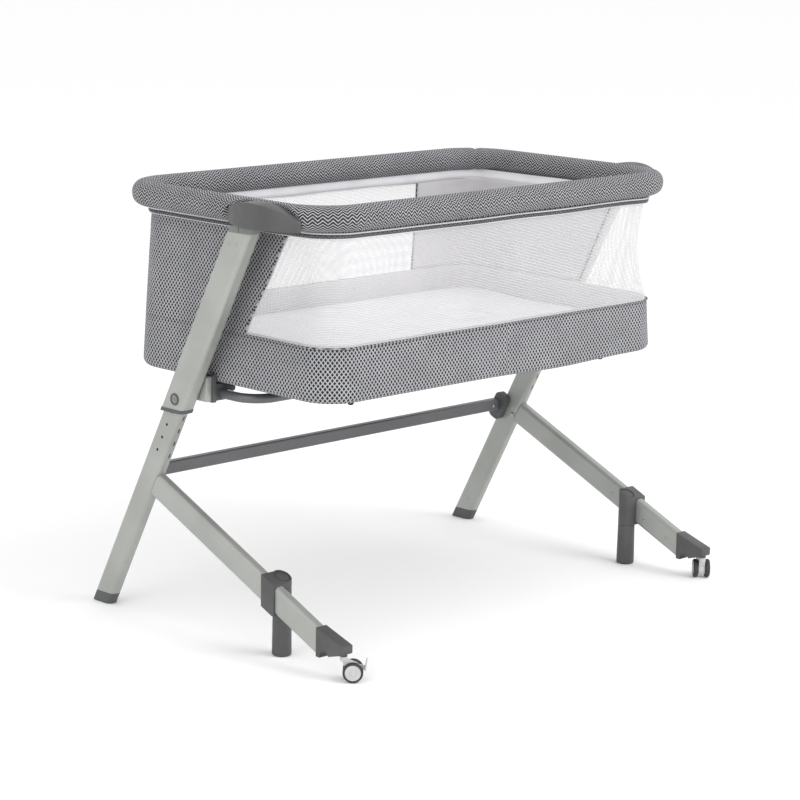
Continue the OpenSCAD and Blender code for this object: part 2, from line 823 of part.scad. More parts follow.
// A bent tube under the base: a long front run and two arms that go back
module under_frame_tube() {
    run_x = arm_x - under_corner;
    bend_y = under_front_y + under_corner;
    color("#606264") {
        translate([-run_x, under_front_y, under_z]) rotate([0, 90, 0])
            cylinder(r = under_r, h = 2 * run_x);
        for (side = [-1, 1]) {
            translate([side * arm_x, arm_end_y, under_z]) rotate([90, 0, 0])
                cylinder(r = under_r, h = arm_end_y - bend_y);
            translate([side * run_x, bend_y, under_z])
                rotate([0, 0, side < 0 ? 180 : 270]) rotate_extrude(angle = 90)
                    translate([under_corner, 0]) circle(under_r);
            // saddle that carries the base board on the tube
            translate([side * saddle_x - saddle_len / 2, under_front_y - saddle_w / 2, under_z])
                cube([saddle_len, saddle_w, board_z - under_z]);
        }
    }
}

// ---------- rail ----------

// Sweeps a section round a rounded rectangle; the section's X points outwards
module ring_sweep(len, dep, corner) {
    run_x = len / 2 - corner;
    run_y = dep / 2 - corner;
    for (side = [0, 1]) rotate([0, 0, 180 * side]) {
        translate([-run_x, -dep / 2, 0]) rotate([90, 0, 90]) mirror([1, 0, 0])
            linear_extrude(2 * run_x) children();
        translate([len / 2, -run_y, 0]) rotate([90, 0, 180]) mirror([1, 0, 0])
            linear_extrude(2 * run_y) children();
    }
    for (i = [0 : 3]) {
        sx = (i == 0 || i == 3) ? 1 : -1;
        sy = i < 2 ? 1 : -1;
        translate([sx * run_x, sy * run_y, 0]) rotate([0, 0, i * 90])
            rotate_extrude(angle = 90) translate([corner, 0]) children();
    }
}

// The same round the cradle's rail, at the rail's height
module rail_sweep() {
    translate([0, crib_y, rail_z]) ring_sweep(rail_len, rail_dep, rail_corner) children();
}

// Superellipse outline for the padded section
function pad_point(a, w, h, power) = [
    w / 2 * sign(cos(a)) * pow(abs(cos(a)), 2 / power),
    h / 2 * sign(sin(a)) * pow(abs(sin(a)), 2 / power)
];

module pad_section() {
    polygon([for (a = [0 : 15 : 345]) pad_point(a, pad_w, pad_h, 2.3)]);
}

module rail_tube() {
    color("#9a9c9c") rail_sweep() circle(rail_tube_r);
}

module rail_pad() {
    color("#8d8d90") difference() {
        rail_sweep() difference() {
            pad_section();
            circle(rail_tube_r);
        }
        for (side = [0, 1]) mirror([side, 0, 0]) {
            bracket_solid(bracket_in_x - 1);
            leaning_prism(sleeve_top_z - 1, bracket_bottom_z + EPS)
                rounded_rect(sleeve_t + 2 * socket_clear, sleeve_w + 2 * socket_clear,
                    sleeve_r + socket_clear);
        }
    }
}

// ---------- fabric shell ----------

// Leaning wall of the fabric shell between two heights
module shell_wall_ring(z0, z1) {
    translate([0, crib_y, 0]) ring_sweep(shell_len, shell_dep, shell_corner) polygon([
        [-shell_inset(z0), z0], [-shell_inset(z1), z1],
        [-shell_inset(z1) - shell_wall, z1], [-shell_inset(z0) - shell_wall, z0]
    ]);
}

// Level outline inside the walls at height z, with a gap all round
module shell_inside(z, gap) {
    trim = shell_wall + shell_inset(z) + gap;
    translate([0, crib_y])
        rounded_rect(shell_len - 2 * trim, shell_dep - 2 * trim, shell_corner - trim);
}

// All space in front of the slanting window edges
module front_of_windows() {
    in_leg_frame() translate([-BIG, -BIG - window_edge, -BIG / 2])
        cube([2 * BIG, BIG, BIG]);
}

// The part of the back wall that is window
module back_window_space() {
    translate([-back_window, crib_y, back_window_z])
        cube([2 * back_window, shell_dep, shell_top_z - back_window_z + 1]);
}

zip_in = 6;                                // zip band's outer face inside the rail's centre line

module zip_band() {
    color("#77777a") translate([0, 0, shell_top_z]) linear_extrude(zip_h) difference() {
        translate([0, crib_y]) rounded_rect(rail_len - 2 * zip_in, rail_dep - 2 * zip_in,
            rail_corner - zip_in);
        shell_inside(shell_top_z, 0);
    }
}

module end_panel() {
    color("#8d8d90") difference() {
        shell_wall_ring(skirt_top_z, shell_top_z);
        front_of_windows();
        back_window_space();
        translate([0, -BIG / 2, 0]) cube([BIG, BIG, BIG]);
    }
}

module front_mesh() {
    color("#e2dfe0", 0.5) intersection() {
        shell_wall_ring(skirt_top_z, shell_top_z);
        front_of_windows();
    }
}

module back_mesh() {
    color("#e2dfe0", 0.5) intersection() {
        shell_wall_ring(back_window_z, shell_top_z);
        back_window_space();
    }
}

module skirt() {
    color("#8d8d90") shell_wall_ring(shell_bottom_z, skirt_top_z);
}

module base_board() {
    color("#9b8a70") translate([0, 0, board_z]) linear_extrude(board_t)
        shell_inside(board_z + board_t, 0);
}

module mattress() {
    color("#e9e9ec") translate([0, 0, board_z + board_t]) linear_extrude(mattress_t)
        shell_inside(board_z + board_t, mattress_gap);
}

module base_feet() {
    color("#181818") for (sx = [-1, 1], sy = [-1, 1])
        translate([sx * base_foot_at[0], crib_y + sy * base_foot_at[1],
                   board_z - base_foot_h]) {
            translate([0, 0, 2]) cylinder(r = base_foot_r, h = base_foot_h - 2);
            cylinder(r1 = base_foot_r - 1.5, r2 = base_foot_r, h = 2);
        }
}

// ---------- nodes ----------

leg_tube();  // leg_tube_left
to_right() leg_tube();  // leg_tube_right
leg_top_guides();
back_foot_cap();  // back_foot_cap_left
to_right() back_foot_cap();  // back_foot_cap_right
front_leg_tube();  // front_leg_tube_left
to_right() front_leg_tube();  // front_leg_tube_right
caster_housing();  // caster_housing_left
to_right() caster_housing();  // caster_housing_right
post_barrel();  // post_barrel_left
to_right() post_barrel();  // post_barrel_right
post_top_discs();
post_screws();
post_foot();  // post_foot_left
to_right() post_foot();  // post_foot_right
crossbar();
crossbar_bracket();  // crossbar_bracket_left
to_right() crossbar_bracket();  // crossbar_bracket_right
frame_rivets();
place_caster(-1) caster_fork();  // caster_fork_left
place_caster(1) caster_fork();  // caster_fork_right
place_caster(-1) caster_axle();  // caster_axle_left
place_caster(1) caster_axle();  // caster_axle_right
place_caster(-1) caster_tyres();  // caster_tyres_left
place_caster(1) caster_tyres();  // caster_tyres_right
place_caster(-1) caster_hubs();  // caster_hubs_left
place_caster(1) caster_hubs();  // caster_hubs_right
place_caster(-1) brake_lever();  // brake_lever_left
place_caster(1) brake_lever();  // brake_lever_right
place_caster(-1) brake_pin();  // brake_pin_left
place_caster(1) brake_pin();  // brake_pin_right
sleeve_tube();  // sleeve_tube_left
to_right() sleeve_tube();  // sleeve_tube_right
sleeve_collar();  // sleeve_collar_left
to_right() sleeve_collar();  // sleeve_collar_right
button_bezel();  // button_bezel_left
to_right() button_bezel();  // button_bezel_right
release_button();  // release_button_left
to_right() release_button();  // release_button_right
bracket_socket();  // bracket_socket_left
to_right() bracket_socket();  // bracket_socket_right
bracket_cover();  // bracket_cover_left
to_right() bracket_cover();  // bracket_cover_right
sleeve_rivets();
sleeve_stubs();
base_joint();  // base_joint_left
to_right() base_joint();  // base_joint_right
under_frame_tube();
rail_tube();
rail_pad();
zip_band();
end_panel();  // end_panel_left
to_right() end_panel();  // end_panel_right
front_mesh();
back_mesh();
skirt();
base_board();
mattress();
base_feet();
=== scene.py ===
"""Looks of a bassinet on its stand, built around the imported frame.

Lengths are metres in the frame's own axes: X runs along the cradle, -Y is the
side with the casters, +Z is up.
"""

import json
import logging
import math
from dataclasses import dataclass
from enum import Enum
from typing import Callable, Optional, Sequence

import bpy
from mathutils import Matrix, Vector, noise

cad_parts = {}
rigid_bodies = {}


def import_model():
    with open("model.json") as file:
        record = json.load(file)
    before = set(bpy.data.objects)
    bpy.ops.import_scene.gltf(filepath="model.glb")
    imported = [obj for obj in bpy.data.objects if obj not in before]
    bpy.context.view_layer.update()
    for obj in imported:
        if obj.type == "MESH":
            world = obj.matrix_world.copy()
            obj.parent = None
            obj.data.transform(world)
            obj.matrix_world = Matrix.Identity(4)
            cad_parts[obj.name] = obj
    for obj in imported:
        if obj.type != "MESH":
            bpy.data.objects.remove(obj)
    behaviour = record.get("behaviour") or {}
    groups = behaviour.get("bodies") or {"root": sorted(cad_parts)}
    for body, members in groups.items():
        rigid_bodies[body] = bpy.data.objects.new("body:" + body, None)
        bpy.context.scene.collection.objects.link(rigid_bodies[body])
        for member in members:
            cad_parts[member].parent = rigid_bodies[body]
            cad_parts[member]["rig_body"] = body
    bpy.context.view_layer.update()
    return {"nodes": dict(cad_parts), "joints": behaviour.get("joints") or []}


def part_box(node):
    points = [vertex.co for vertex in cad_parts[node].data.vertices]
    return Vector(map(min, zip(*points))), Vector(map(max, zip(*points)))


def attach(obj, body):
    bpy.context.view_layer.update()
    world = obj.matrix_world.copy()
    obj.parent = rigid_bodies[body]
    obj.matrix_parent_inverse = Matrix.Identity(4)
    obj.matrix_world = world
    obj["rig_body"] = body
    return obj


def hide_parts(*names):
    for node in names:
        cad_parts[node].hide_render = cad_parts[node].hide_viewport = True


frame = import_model()

MM = 0.001
LINING_IN = 0.0045  # from the walls' outer faces in to the lining
NET_IN = 0.0008  # and in to the back window's net
PER_MM = 1000.0  # a pattern's scale, on lengths in metres, for a repeat of one millimetre
WAVES_PER_MM = 160.0  # the same for a wave, whose own repeat is near a sixth of its unit
SMOOTH = {"interpolation_type": "SMOOTHSTEP"}
LOG = logging.getLogger("bassinet")
Point = tuple[float, float, float]
Span = tuple[float, float]
Tree = bpy.types.NodeTree
Socket = bpy.types.NodeSocket
Piece = bpy.types.Object
Inputs = dict | Sequence[object]


# ---------------------------------------------------------------- node helpers


def linear(code: str) -> tuple[float, float, float, float]:
    """Turns an sRGB hex colour to linear light.

    Args:
        code: Six hex digits, such as "b2b4af".

    Returns:
        Red, green, blue and an alpha of one.
    """
    channels = [int(code[i : i + 2], 16) / 255 for i in (0, 2, 4)]
    light = [c / 12.92 if c <= 0.04045 else ((c + 0.055) / 1.055) ** 2.4 for c in channels]
    return light[0], light[1], light[2], 1.0


def shade(code: str, factor: float) -> str:
    """Returns a hex colour whose channels are factor times the given one's."""
    return "".join(f"{min(255, round(int(code[i : i + 2], 16) * factor)):02x}" for i in (0, 2, 4))


def put(tree: Tree, node: bpy.types.Node, inputs: Inputs) -> None:
    """Sets a node's inputs: a socket is linked, a hex colour is turned to linear light.

    Args:
        tree: The tree that holds the node.
        node: The node.
        inputs: Values by input name or index, or in the inputs' own order.
    """
    for key, value in inputs.items() if isinstance(inputs, dict) else enumerate(inputs):
        if isinstance(value, Socket):
            tree.links.new(value, node.inputs[key])
        else:
            node.inputs[key].default_value = linear(value) if isinstance(value, str) else value


def add_node(
    tree: Tree, kind: str, inputs: Inputs = (), output: int | str = 0, **settings: object
) -> Socket:
    """Adds one shader node.

    Args:
        tree: The node tree that gets it.
        kind: The node's type after "ShaderNode", such as "Math".
        inputs: Its inputs, as put takes them.
        output: The wanted output.
        **settings: The node's own properties.

    Returns:
        The wanted output.
    """
    node = tree.nodes.new("ShaderNode" + kind)
    for key, value in settings.items():
        setattr(node, key, value)
    put(tree, node, inputs)
    return node.outputs[output]


# -------------------------------------------------------------------- finishes


@dataclass(frozen=True)
class Finish:
    """What all finishes share."""

    name: str

    def material(self) -> bpy.types.Material:
        """Builds the finish and returns it.

        Returns:
            The material.
        """
        material = bpy.data.materials.new(self.name)
        material.use_nodes = True
        tree = material.node_tree
        put(tree, tree.nodes["Principled BSDF"], self.surface(tree))
        return material

    def surface(self, tree: Tree) -> dict[str, object]:
        """Adds the finish's patterns and returns the shader's inputs."""
        raise NotImplementedError

    @staticmethod
    def mottled(
        tree: Tree, pattern: Socket, span: Span, colour: str | Socket, other: str, most: float
    ) -> Socket:
        """Turns one colour towards another where a pattern is high.

        Args:
            tree: The node tree.
            pattern: The pattern's value.
            span: The values between which the turn happens.
            colour: The main colour.
            other: The colour that it turns to.
            most: The other colour's largest share.

        Returns:
            The colour.
        """
        share = add_node(tree, "MapRange", (pattern, *span, 0.0, most), **SMOOTH)
        return add_node(tree, "Mix", {0: share, 6: colour, 7: other}, 2, data_type="RGBA")


@dataclass(frozen=True)
class PowderCoat(Finish):
    """Powder coated steel: even colour, faint orange peel, a soft metallic gleam."""

    colour: str
    roughness: float = 0.38
    metallic: float = 0.35
    peel_mm: float = 1.6
    flake_mm: float = 0.9
    cloud_mm: float = 90.0

    def surface(self, tree: Tree) -> dict[str, object]:
        """Adds the peel, the flakes and a slow change of tone.

        Args:
            tree: The node tree that gets them.

        Returns:
            The shader's inputs by name.
        """
        place = add_node(tree, "TexCoord", output="Object")
        cloud = add_node(tree, "TexNoise", {"Vector": place, "Scale": PER_MM / self.cloud_mm})
        peel = add_node(tree, "TexNoise", {"Vector": place, "Scale": PER_MM / self.peel_mm})
        flake = add_node(
            tree, "TexNoise", {"Vector": place, "Scale": PER_MM / self.flake_mm, "Detail": 0.0}
        )
        rough = (self.roughness - 0.05, self.roughness + 0.07)
        return {
            "Base Color": self.mottled(
                tree, cloud, (0.35, 0.65), self.colour, shade(self.colour, 0.86), 0.35
            ),
            "Metallic": self.metallic,
            "Roughness": add_node(tree, "MapRange", (flake, 0.3, 0.7, *rough), **SMOOTH),
            "Normal": add_node(
                tree, "Bump", {"Height": peel, "Strength": 0.12, "Distance": 0.2 * MM}
            ),
        }


@dataclass(frozen=True)
class MouldedPlastic(Finish):
    """Injection moulded plastic with a spark-eroded grain and handled, shinier patches."""

    colour: str
    roughness: float = 0.5
    grain_mm: float = 1.1
    grain_depth: float = 0.00012
    wear_mm: float = 45.0

    def surface(self, tree: Tree) -> dict[str, object]:
        """Adds the grain and the wear.

        Args:
            tree: The node tree that gets them.

        Returns:
            The shader's inputs by name.
        """
        place = add_node(tree, "TexCoord", output="Object")
        grain = add_node(
            tree, "TexNoise", {"Vector": place, "Scale": PER_MM / self.grain_mm, "Detail": 3.0}
        )
        wear = add_node(tree, "TexNoise", {"Vector": place, "Scale": PER_MM / self.wear_mm})
        rough = (self.roughness - 0.07, self.roughness + 0.07)
        return {
            "Base Color": self.mottled(
                tree, wear, (0.3, 0.7), self.colour, shade(self.colour, 0.88), 0.5
            ),
            "Roughness": add_node(tree, "MapRange", (wear, 0.3, 0.7, *rough), **SMOOTH),
            "Normal": add_node(
                tree, "Bump", {"Height": grain, "Strength": 0.25, "Distance": self.grain_depth}
            ),
        }


@dataclass(frozen=True)
class PlatedSteel(Finish):
    """Zinc plated steel, turned or drawn: bright, with fine scratches in its gloss."""

    colour: str
    roughness: float = 0.32
    scratch_mm: float = 0.8

    def surface(self, tree: Tree) -> dict[str, object]:
        """Adds the scratches.

        Args:
            tree: The node tree that gets them.

        Returns:
            The shader's inputs by name.
        """
        place = add_node(tree, "TexCoord", output="Object")
        scratch = add_node(
            tree, "TexNoise", {"Vector": place, "Scale": PER_MM / self.scratch_mm, "Detail": 4.0}
        )
        rough = (self.roughness - 0.08, self.roughness + 0.12)
        return {
            "Base Color": self.colour,
            "Metallic": 1.0,
            "Roughness": add_node(tree, "MapRange", (scratch, 0.3, 0.7, *rough), **SMOOTH),
        }


@dataclass(frozen=True)
class Rubber(Finish):
    """Soft rubber: matt, a little dusty where it is proud."""

    colour: str
    roughness: float = 0.72
    dust_mm: float = 7.0

    def surface(self, tree: Tree) -> dict[str, object]:
        """Adds the dust.

        Args:
            tree: The node tree that gets them.

        Returns:
            The shader's inputs by name.
        """
        place = add_node(tree, "TexCoord", output="Object")
        dust = add_node(
            tree, "TexNoise", {"Vector": place, "Scale": PER_MM / self.dust_mm, "Detail": 4.0}
        )
        return {
            "Base Color": self.mottled(
                tree, dust, (0.45, 0.75), self.colour, shade(self.colour, 1.35), 0.6
            ),
            "Roughness": self.roughness,
            "Normal": add_node(
                tree, "Bump", {"Height": dust, "Strength": 0.3, "Distance": 0.2 * MM}
            ),
        }


class KnitPattern(Enum):
    """How the light yarn runs over the dark ground."""

    CHEVRON = "chevron"
    DIAMOND = "diamond"


@dataclass(frozen=True)
class JacquardKnit(Finish):
    """Two-colour polyester jacquard knit: matt, with a crisp light and dark figure.

    The pattern follows the piece's UV map, in metres. The real repeat is about 5 mm, and it is
    drawn at wale_mm and course_mm so that it shows.
    """

    pattern: KnitPattern
    dark: str = "18181b"
    light: str = "b6b6ba"
    wale_mm: float = 6.4
    course_mm: float = 5.4
    duty: float = 0.5
    fuzz_mm: float = 2.2
    cloud_mm: float = 60.0

    def surface(self, tree: Tree) -> dict[str, object]:
        """Adds the figure, the yarns' fuzz and a slow change of tone.

        Args:
            tree: The node tree that gets them.

        Returns:
            The shader's inputs by name.
        """
        uv = add_node(tree, "UVMap", uv_map="UVMap")
        across, along = (
            add_node(
                tree,
                "Math",
                (add_node(tree, "SeparateXYZ", (uv,), axis), PER_MM / size),
                operation="MULTIPLY",
            )
            for axis, size in enumerate((self.wale_mm, self.course_mm))
        )
        fuzz = add_node(
            tree, "TexNoise", {"Vector": uv, "Scale": PER_MM / self.fuzz_mm, "Detail": 3.0}
        )
        centred = add_node(tree, "Math", (fuzz, 0.5), operation="SUBTRACT")
        wobble = add_node(tree, "Math", (centred, 0.28), operation="MULTIPLY")
        if self.pattern is KnitPattern.CHEVRON:
            turn = add_node(tree, "Math", (across, 1.0), operation="PINGPONG")
            climb = add_node(tree, "Math", (turn, 1.15), operation="MULTIPLY")
            phase = add_node(tree, "Math", (along, climb), operation="ADD")
            line = self._stroke(tree, phase, wobble, self.duty)
        else:
            slants = [
                add_node(tree, "Math", (across, along), operation=way)
                for way in ("ADD", "SUBTRACT")
            ]
            strokes = [self._stroke(tree, slant, wobble, self.duty * 0.62) for slant in slants]
            line = add_node(tree, "Math", strokes, operation="MAXIMUM")
        tone = add_node(
            tree, "Mix", {0: line, 6: self.dark, 7: self.light}, 2, data_type="RGBA"
        )
        cloud = add_node(tree, "TexNoise", {"Vector": uv, "Scale": PER_MM / self.cloud_mm})
        lint = add_node(tree, "Math", (fuzz, 0.6), operation="MULTIPLY")
        relief = add_node(tree, "Math", (line, lint), operation="ADD")
        return {
            "Base Color": self.mottled(tree, cloud, (0.3, 0.7), tone, "2e2e32", 0.14),
            "Roughness": 0.93,
            "Sheen Weight": 0.06,
            "Normal": add_node(
                tree, "Bump", {"Height": relief, "Strength": 0.55, "Distance": 0.6 * MM}
            ),
        }

    @staticmethod
    def _stroke(tree: Tree, phase: Socket, wobble: Socket, duty: float) -> Socket:
        """Draws the light yarn.

        Args:
            tree: The node tree.
            phase: A value that counts the figure's repeats.
            wobble: What the yarn wanders by, in repeats.
            duty: The yarn's share of a repeat.

        Returns:
            1 on the yarn and 0 between.
        """
        wandering = add_node(tree, "Math", (phase, wobble), operation="ADD")
        share = add_node(tree, "Math", (wandering,), operation="FRACT")
        offset = add_node(tree, "Math", (share, 0.5), operation="SUBTRACT")
        distance = add_node(tree, "Math", (offset,), operation="ABSOLUTE")
        soft = (duty / 2 + 0.09, duty / 2 - 0.09)
        return add_node(tree, "MapRange", (distance, *soft, 0.0, 1.0), **SMOOTH)


@dataclass(frozen=True)
class WarpNet(Finish):
    """White warp-knit net: a soft veil that the inside shows through.

    Its holes follow the piece's UV map, in metres. The real ones are about 1 mm apart, and they
    are drawn at pitch_mm so that they show.
    """

    colour: str = "d9d8da"
    pitch_mm: float = 2.6
    open_share: float = 0.40
    soft_edge: float = 0.08

    def surface(self, tree: Tree) -> dict[str, object]:
        """Adds the holes.

        Args:
            tree: The node tree that gets them.

        Returns:
            The shader's inputs by name.
        """
        cells = add_node(
            tree,
            "TexVoronoi",
            {
                "Vector": add_node(tree, "UVMap", uv_map="UVMap"),
                "Scale": PER_MM / self.pitch_mm,
                "Randomness": 0.18,
            },
            "Distance",
            voronoi_dimensions="2D",
        )
        edge = (self.open_share - self.soft_edge, self.open_share + self.soft_edge)
        return {
            "Base Color": self.colour,
            "Alpha": add_node(tree, "MapRange", (cells, *edge, 0.0, 1.0), **SMOOTH),
            "Roughness": 0.85,
            "Sheen Weight": 0.2,
        }


@dataclass(frozen=True)
class PlainCloth(Finish):
    """Plain woven or brushed cloth: matt, with a visible thread and soft creases."""

    colour: str
    thread_mm: float = 1.6
    quilt_mm: float = 0.0
    cloud_mm: float = 70.0

    def surface(self, tree: Tree) -> dict[str, object]:
        """Adds the threads, a slow change of tone and, where there is one, the quilting.

        Args:
            tree: The node tree that gets them.

        Returns:
            The shader's inputs by name.
        """
        place = add_node(tree, "TexCoord", output="Object")
        threads = add_node(
            tree,
            "TexWave",
            {"Vector": place, "Scale": WAVES_PER_MM / self.thread_mm, "Distortion": 2.0},
            1,
        )
        fuzz = add_node(
            tree, "TexNoise", {"Vector": place, "Scale": PER_MM / self.thread_mm, "Detail": 3.0}
        )
        cloud = add_node(tree, "TexNoise", {"Vector": place, "Scale": PER_MM / self.cloud_mm})
        half = add_node(tree, "Math", (threads, 0.5), operation="MULTIPLY")
        height = add_node(tree, "Math", (half, fuzz), operation="ADD")
        if self.quilt_mm:
            waves = add_node(
                tree,
                "TexWave",
                {
                    "Vector": place,
                    "Scale": WAVES_PER_MM / self.quilt_mm,
                    "Distortion": 5.0,
                    "Detail Scale": 0.6,
                },
                1,
                bands_direction="Y",
            )
            deep = add_node(tree, "Math", (waves, 4.0), operation="MULTIPLY")
            height = add_node(tree, "Math", (height, deep), operation="ADD")
        return {
            "Base Color": self.mottled(
                tree, cloud, (0.35, 0.65), self.colour, shade(self.colour, 0.93), 0.5
            ),
            "Roughness": 0.92,
            "Sheen Weight": 0.2,
            "Normal": add_node(
                tree, "Bump", {"Height": height, "Strength": 0.4, "Distance": 0.5 * MM}
            ),
        }


@dataclass(frozen=True)
class BackdropPaper(Finish):
    """Matt white backdrop paper: an even ground that takes a soft shadow."""

    white: float = 0.985

    def surface(self, tree: Tree) -> dict[str, object]:
        """Returns the paper's plain white."""
        return {"Base Color": (self.white, self.white, self.white, 1.0), "Roughness": 0.9}


class Palette:
    """Every finish on the object, each built once."""

    def __init__(self) -> None:
        """Builds the materials."""
        finishes = dict(
            leg=PowderCoat("powder_coat_silver", "a4a6a2"),
            sleeve=PowderCoat("powder_coat_silver_sleeve", "a6a8a3"),
            crossbar=PowderCoat("powder_coat_dark", "6f6f72", 0.42, 0.2),
            under_tube=PowderCoat("powder_coat_under_tube", "66686a", 0.35, 0.3),
            grey=MouldedPlastic("moulded_nylon_grey", "4d4d4e"),
            dark=MouldedPlastic("moulded_nylon_dark", "505254"),
            socket=MouldedPlastic("moulded_nylon_socket", "72746f"),
            button=MouldedPlastic("moulded_button", "7e8082", 0.42),
            caster=MouldedPlastic("moulded_caster_light", "c6c6c4", 0.4),
            steel=PlatedSteel("zinc_plated_steel", "a9aba8"),
            # near-black painted shade, laid in the gaps round discs and buttons and in screw
            # recesses
            dark_hole=MouldedPlastic("shadowed_recess", "141415", 0.8),
            tyre=Rubber("tyre_rubber", "2d2d2e", 0.6),
            foot=Rubber("black_rubber", "141414"),
            rail=JacquardKnit("jacquard_knit_rail", KnitPattern.CHEVRON, duty=0.37),
            body=JacquardKnit(
                "jacquard_knit_body", KnitPattern.DIAMOND, "18181b", "b4b4b8", 7.8, 9.4, 0.45
            ),
            hem=JacquardKnit(
                "jacquard_knit_hem", KnitPattern.CHEVRON, "161618", "86868a", 5.4, 4.6, 0.38
            ),
            net=WarpNet("warp_knit_net"),
            piping=PlainCloth("piping_tape_white", "d9d9dc"),
            zip=PlainCloth("zip_tape_dark", "2c2c2f"),
            lining=PlainCloth("lining_cloth", "c4c2c4", 1.4),
            mattress=PlainCloth("mattress_ticking", "d6d5d8", 1.6, 16.0),
            base=PlainCloth("base_cloth_dark", "3d3d40", 2.0),
        )
        self.made = {key: finish.material() for key, finish in finishes.items()}

    def __getitem__(self, key: str) -> bpy.types.Material:
        """Returns one of the materials."""
        return self.made[key]


# ----------------------------------------------------------------- mesh helpers


def select_only(*objects: Piece) -> None:
    """Selects these objects and nothing else; the first one is active.

    Args:
        *objects: The objects to select.
    """
    bpy.ops.object.select_all(action="DESELECT")
    for o in objects:
        o.select_set(True)
    bpy.context.view_layer.objects.active = objects[0]


def apply_modifier(piece: Piece, kind: str, **settings: object) -> None:
    """Adds a modifier to a piece and applies it.

    Args:
        piece: The mesh object.
        kind: The modifier's type, such as "BEVEL".
        **settings: The modifier's properties.
    """
    modifier = piece.modifiers.new(kind.lower(), kind)
    for key, value in settings.items():
        setattr(modifier, key, value)
    select_only(piece)
    bpy.ops.object.modifier_apply(modifier=modifier.name)


def place_in_mesh(piece: Piece) -> None:
    """Applies a piece's place, turn and scale to its mesh."""
    select_only(piece)
    bpy.ops.object.transform_apply(location=True, rotation=True, scale=True)


def smooth(piece: Piece, degrees: float = 40) -> None:
    """Shades a piece smooth, but for edges sharper than an angle."""
    select_only(piece)
    bpy.ops.object.shade_smooth_by_angle(angle=math.radians(degrees))


def recalculate(piece: Piece) -> None:
    """Merges doubles and turns every face outwards.

    Args:
        piece: The mesh object.
    """
    select_only(piece)
    bpy.ops.object.mode_set(mode="EDIT")
    bpy.ops.mesh.select_all(action="SELECT")
    bpy.ops.mesh.remove_doubles(threshold=0.00001)
    bpy.ops.mesh.normals_make_consistent(inside=False)
    bpy.ops.object.mode_set(mode="OBJECT")


def from_rows(
    name: str,
    rows: Sequence[Sequence[Vector]],
    uvs: Sequence[Sequence[tuple[float, float]]],
    closed: bool = False,
    wraps: bool = False,
    keep: Optional[Callable[[int, int], bool]] = None,
) -> Piece:
    """Builds a sheet from rows of points.

    Args:
        name: The piece's name.
        rows: Rows of points, all of one length.
        uvs: The same for the pattern, in metres.
        closed: Whether each row's last point joins its first.
        wraps: Whether the last row joins the first.
        keep: Tells from a face's row and column whether it is wanted.

    Returns:
        The new object, with a UV map.
    """
    count, width = len(rows), len(rows[0])
    mesh = bpy.data.meshes.new(name)
    faces, corners = [], []
    for r in range(count if wraps else count - 1):
        for c in range(width if closed else width - 1):
            if keep and not keep(r, c):
                continue
            quad = [(r, c), (r, c + 1), (r + 1, c + 1), (r + 1, c)]
            faces.append([(i % count) * width + (j % width) for i, j in quad])
            corners.append(quad)
    mesh.from_pydata([p for row in rows for p in row], [], faces)
    layer = mesh.uv_layers.new(name="UVMap")
    index = 0
    for quad in corners:
        for i, j in quad:
            layer.data[index].uv = uv_at(uvs, i, j)
            index += 1
    piece = bpy.data.objects.new(name, mesh)
    bpy.context.scene.collection.objects.link(piece)
    select_only(piece)
    bpy.ops.object.mode_set(mode="EDIT")
    bpy.ops.mesh.select_all(action="SELECT")
    bpy.ops.mesh.delete_loose()
    bpy.ops.object.mode_set(mode="OBJECT")
    return piece


def uv_at(uvs: Sequence[Sequence[tuple[float, float]]], i: int, j: int) -> tuple[float, float]:
    """Returns a grid's UV, carried on past the last row or column by one step.

    Args:
        uvs: The grid's UVs, row by row.
        i: The row.
        j: The column.

    Returns:
        The UV.
    """
    row = uvs[min(i, len(uvs) - 1)]
    u, v = row[min(j, len(row) - 1)]
    if j >= len(row):
        u += row[-1][0] - row[-2][0]
    if i >= len(uvs):
        v += uvs[-1][0][1] - uvs[-2][0][1]
    return u, v


def ramp(low: float, high: float, value: float) -> float:
    """Returns a smooth step from 0 at low to 1 at high."""
    t = min(1.0, max(0.0, (value - low) / (high - low)))
    return t * t * (3 - 2 * t)


def steps(low: float, high: float, size: float) -> list[float]:
    """Returns evenly spaced values from low to high, about size apart."""
    count = max(1, round(abs(high - low) / size))
    return [low + (high - low) * i / count for i in range(count + 1)]


def inflate(piece: Piece, pressure: float, cap: float, frames: int = 20) -> None:
    """Swells a closed soft piece with a cloth simulation and applies the result.

    Args:
        piece: The piece, a closed mesh.
        pressure: The cloth's pressure.
        cap: The furthest that a point may move, in metres.
        frames: How many frames to run.
    """
    start = [v.co.copy() for v in piece.data.vertices]
    modifier = piece.modifiers.new("cloth", "CLOTH")
    cloth = modifier.settings
    cloth.use_pressure = True
    cloth.uniform_pressure_force = pressure
    cloth.effector_weights.gravity = 0
    cloth.quality = 6
    cloth.tension_stiffness = cloth.compression_stiffness = 12
    cloth.bending_stiffness = 0.6
    modifier.point_cache.frame_start, modifier.point_cache.frame_end = 1, frames
    scene = bpy.context.scene
    for number in range(1, frames + 1):
        scene.frame_set(number)
    select_only(piece)
    bpy.ops.object.modifier_apply(modifier=modifier.name)
    scene.frame_set(1)
    for vertex, before in zip(piece.data.vertices, start):
        move = vertex.co - before
        if move.length > cap:
            vertex.co = before + move.normalized() * cap


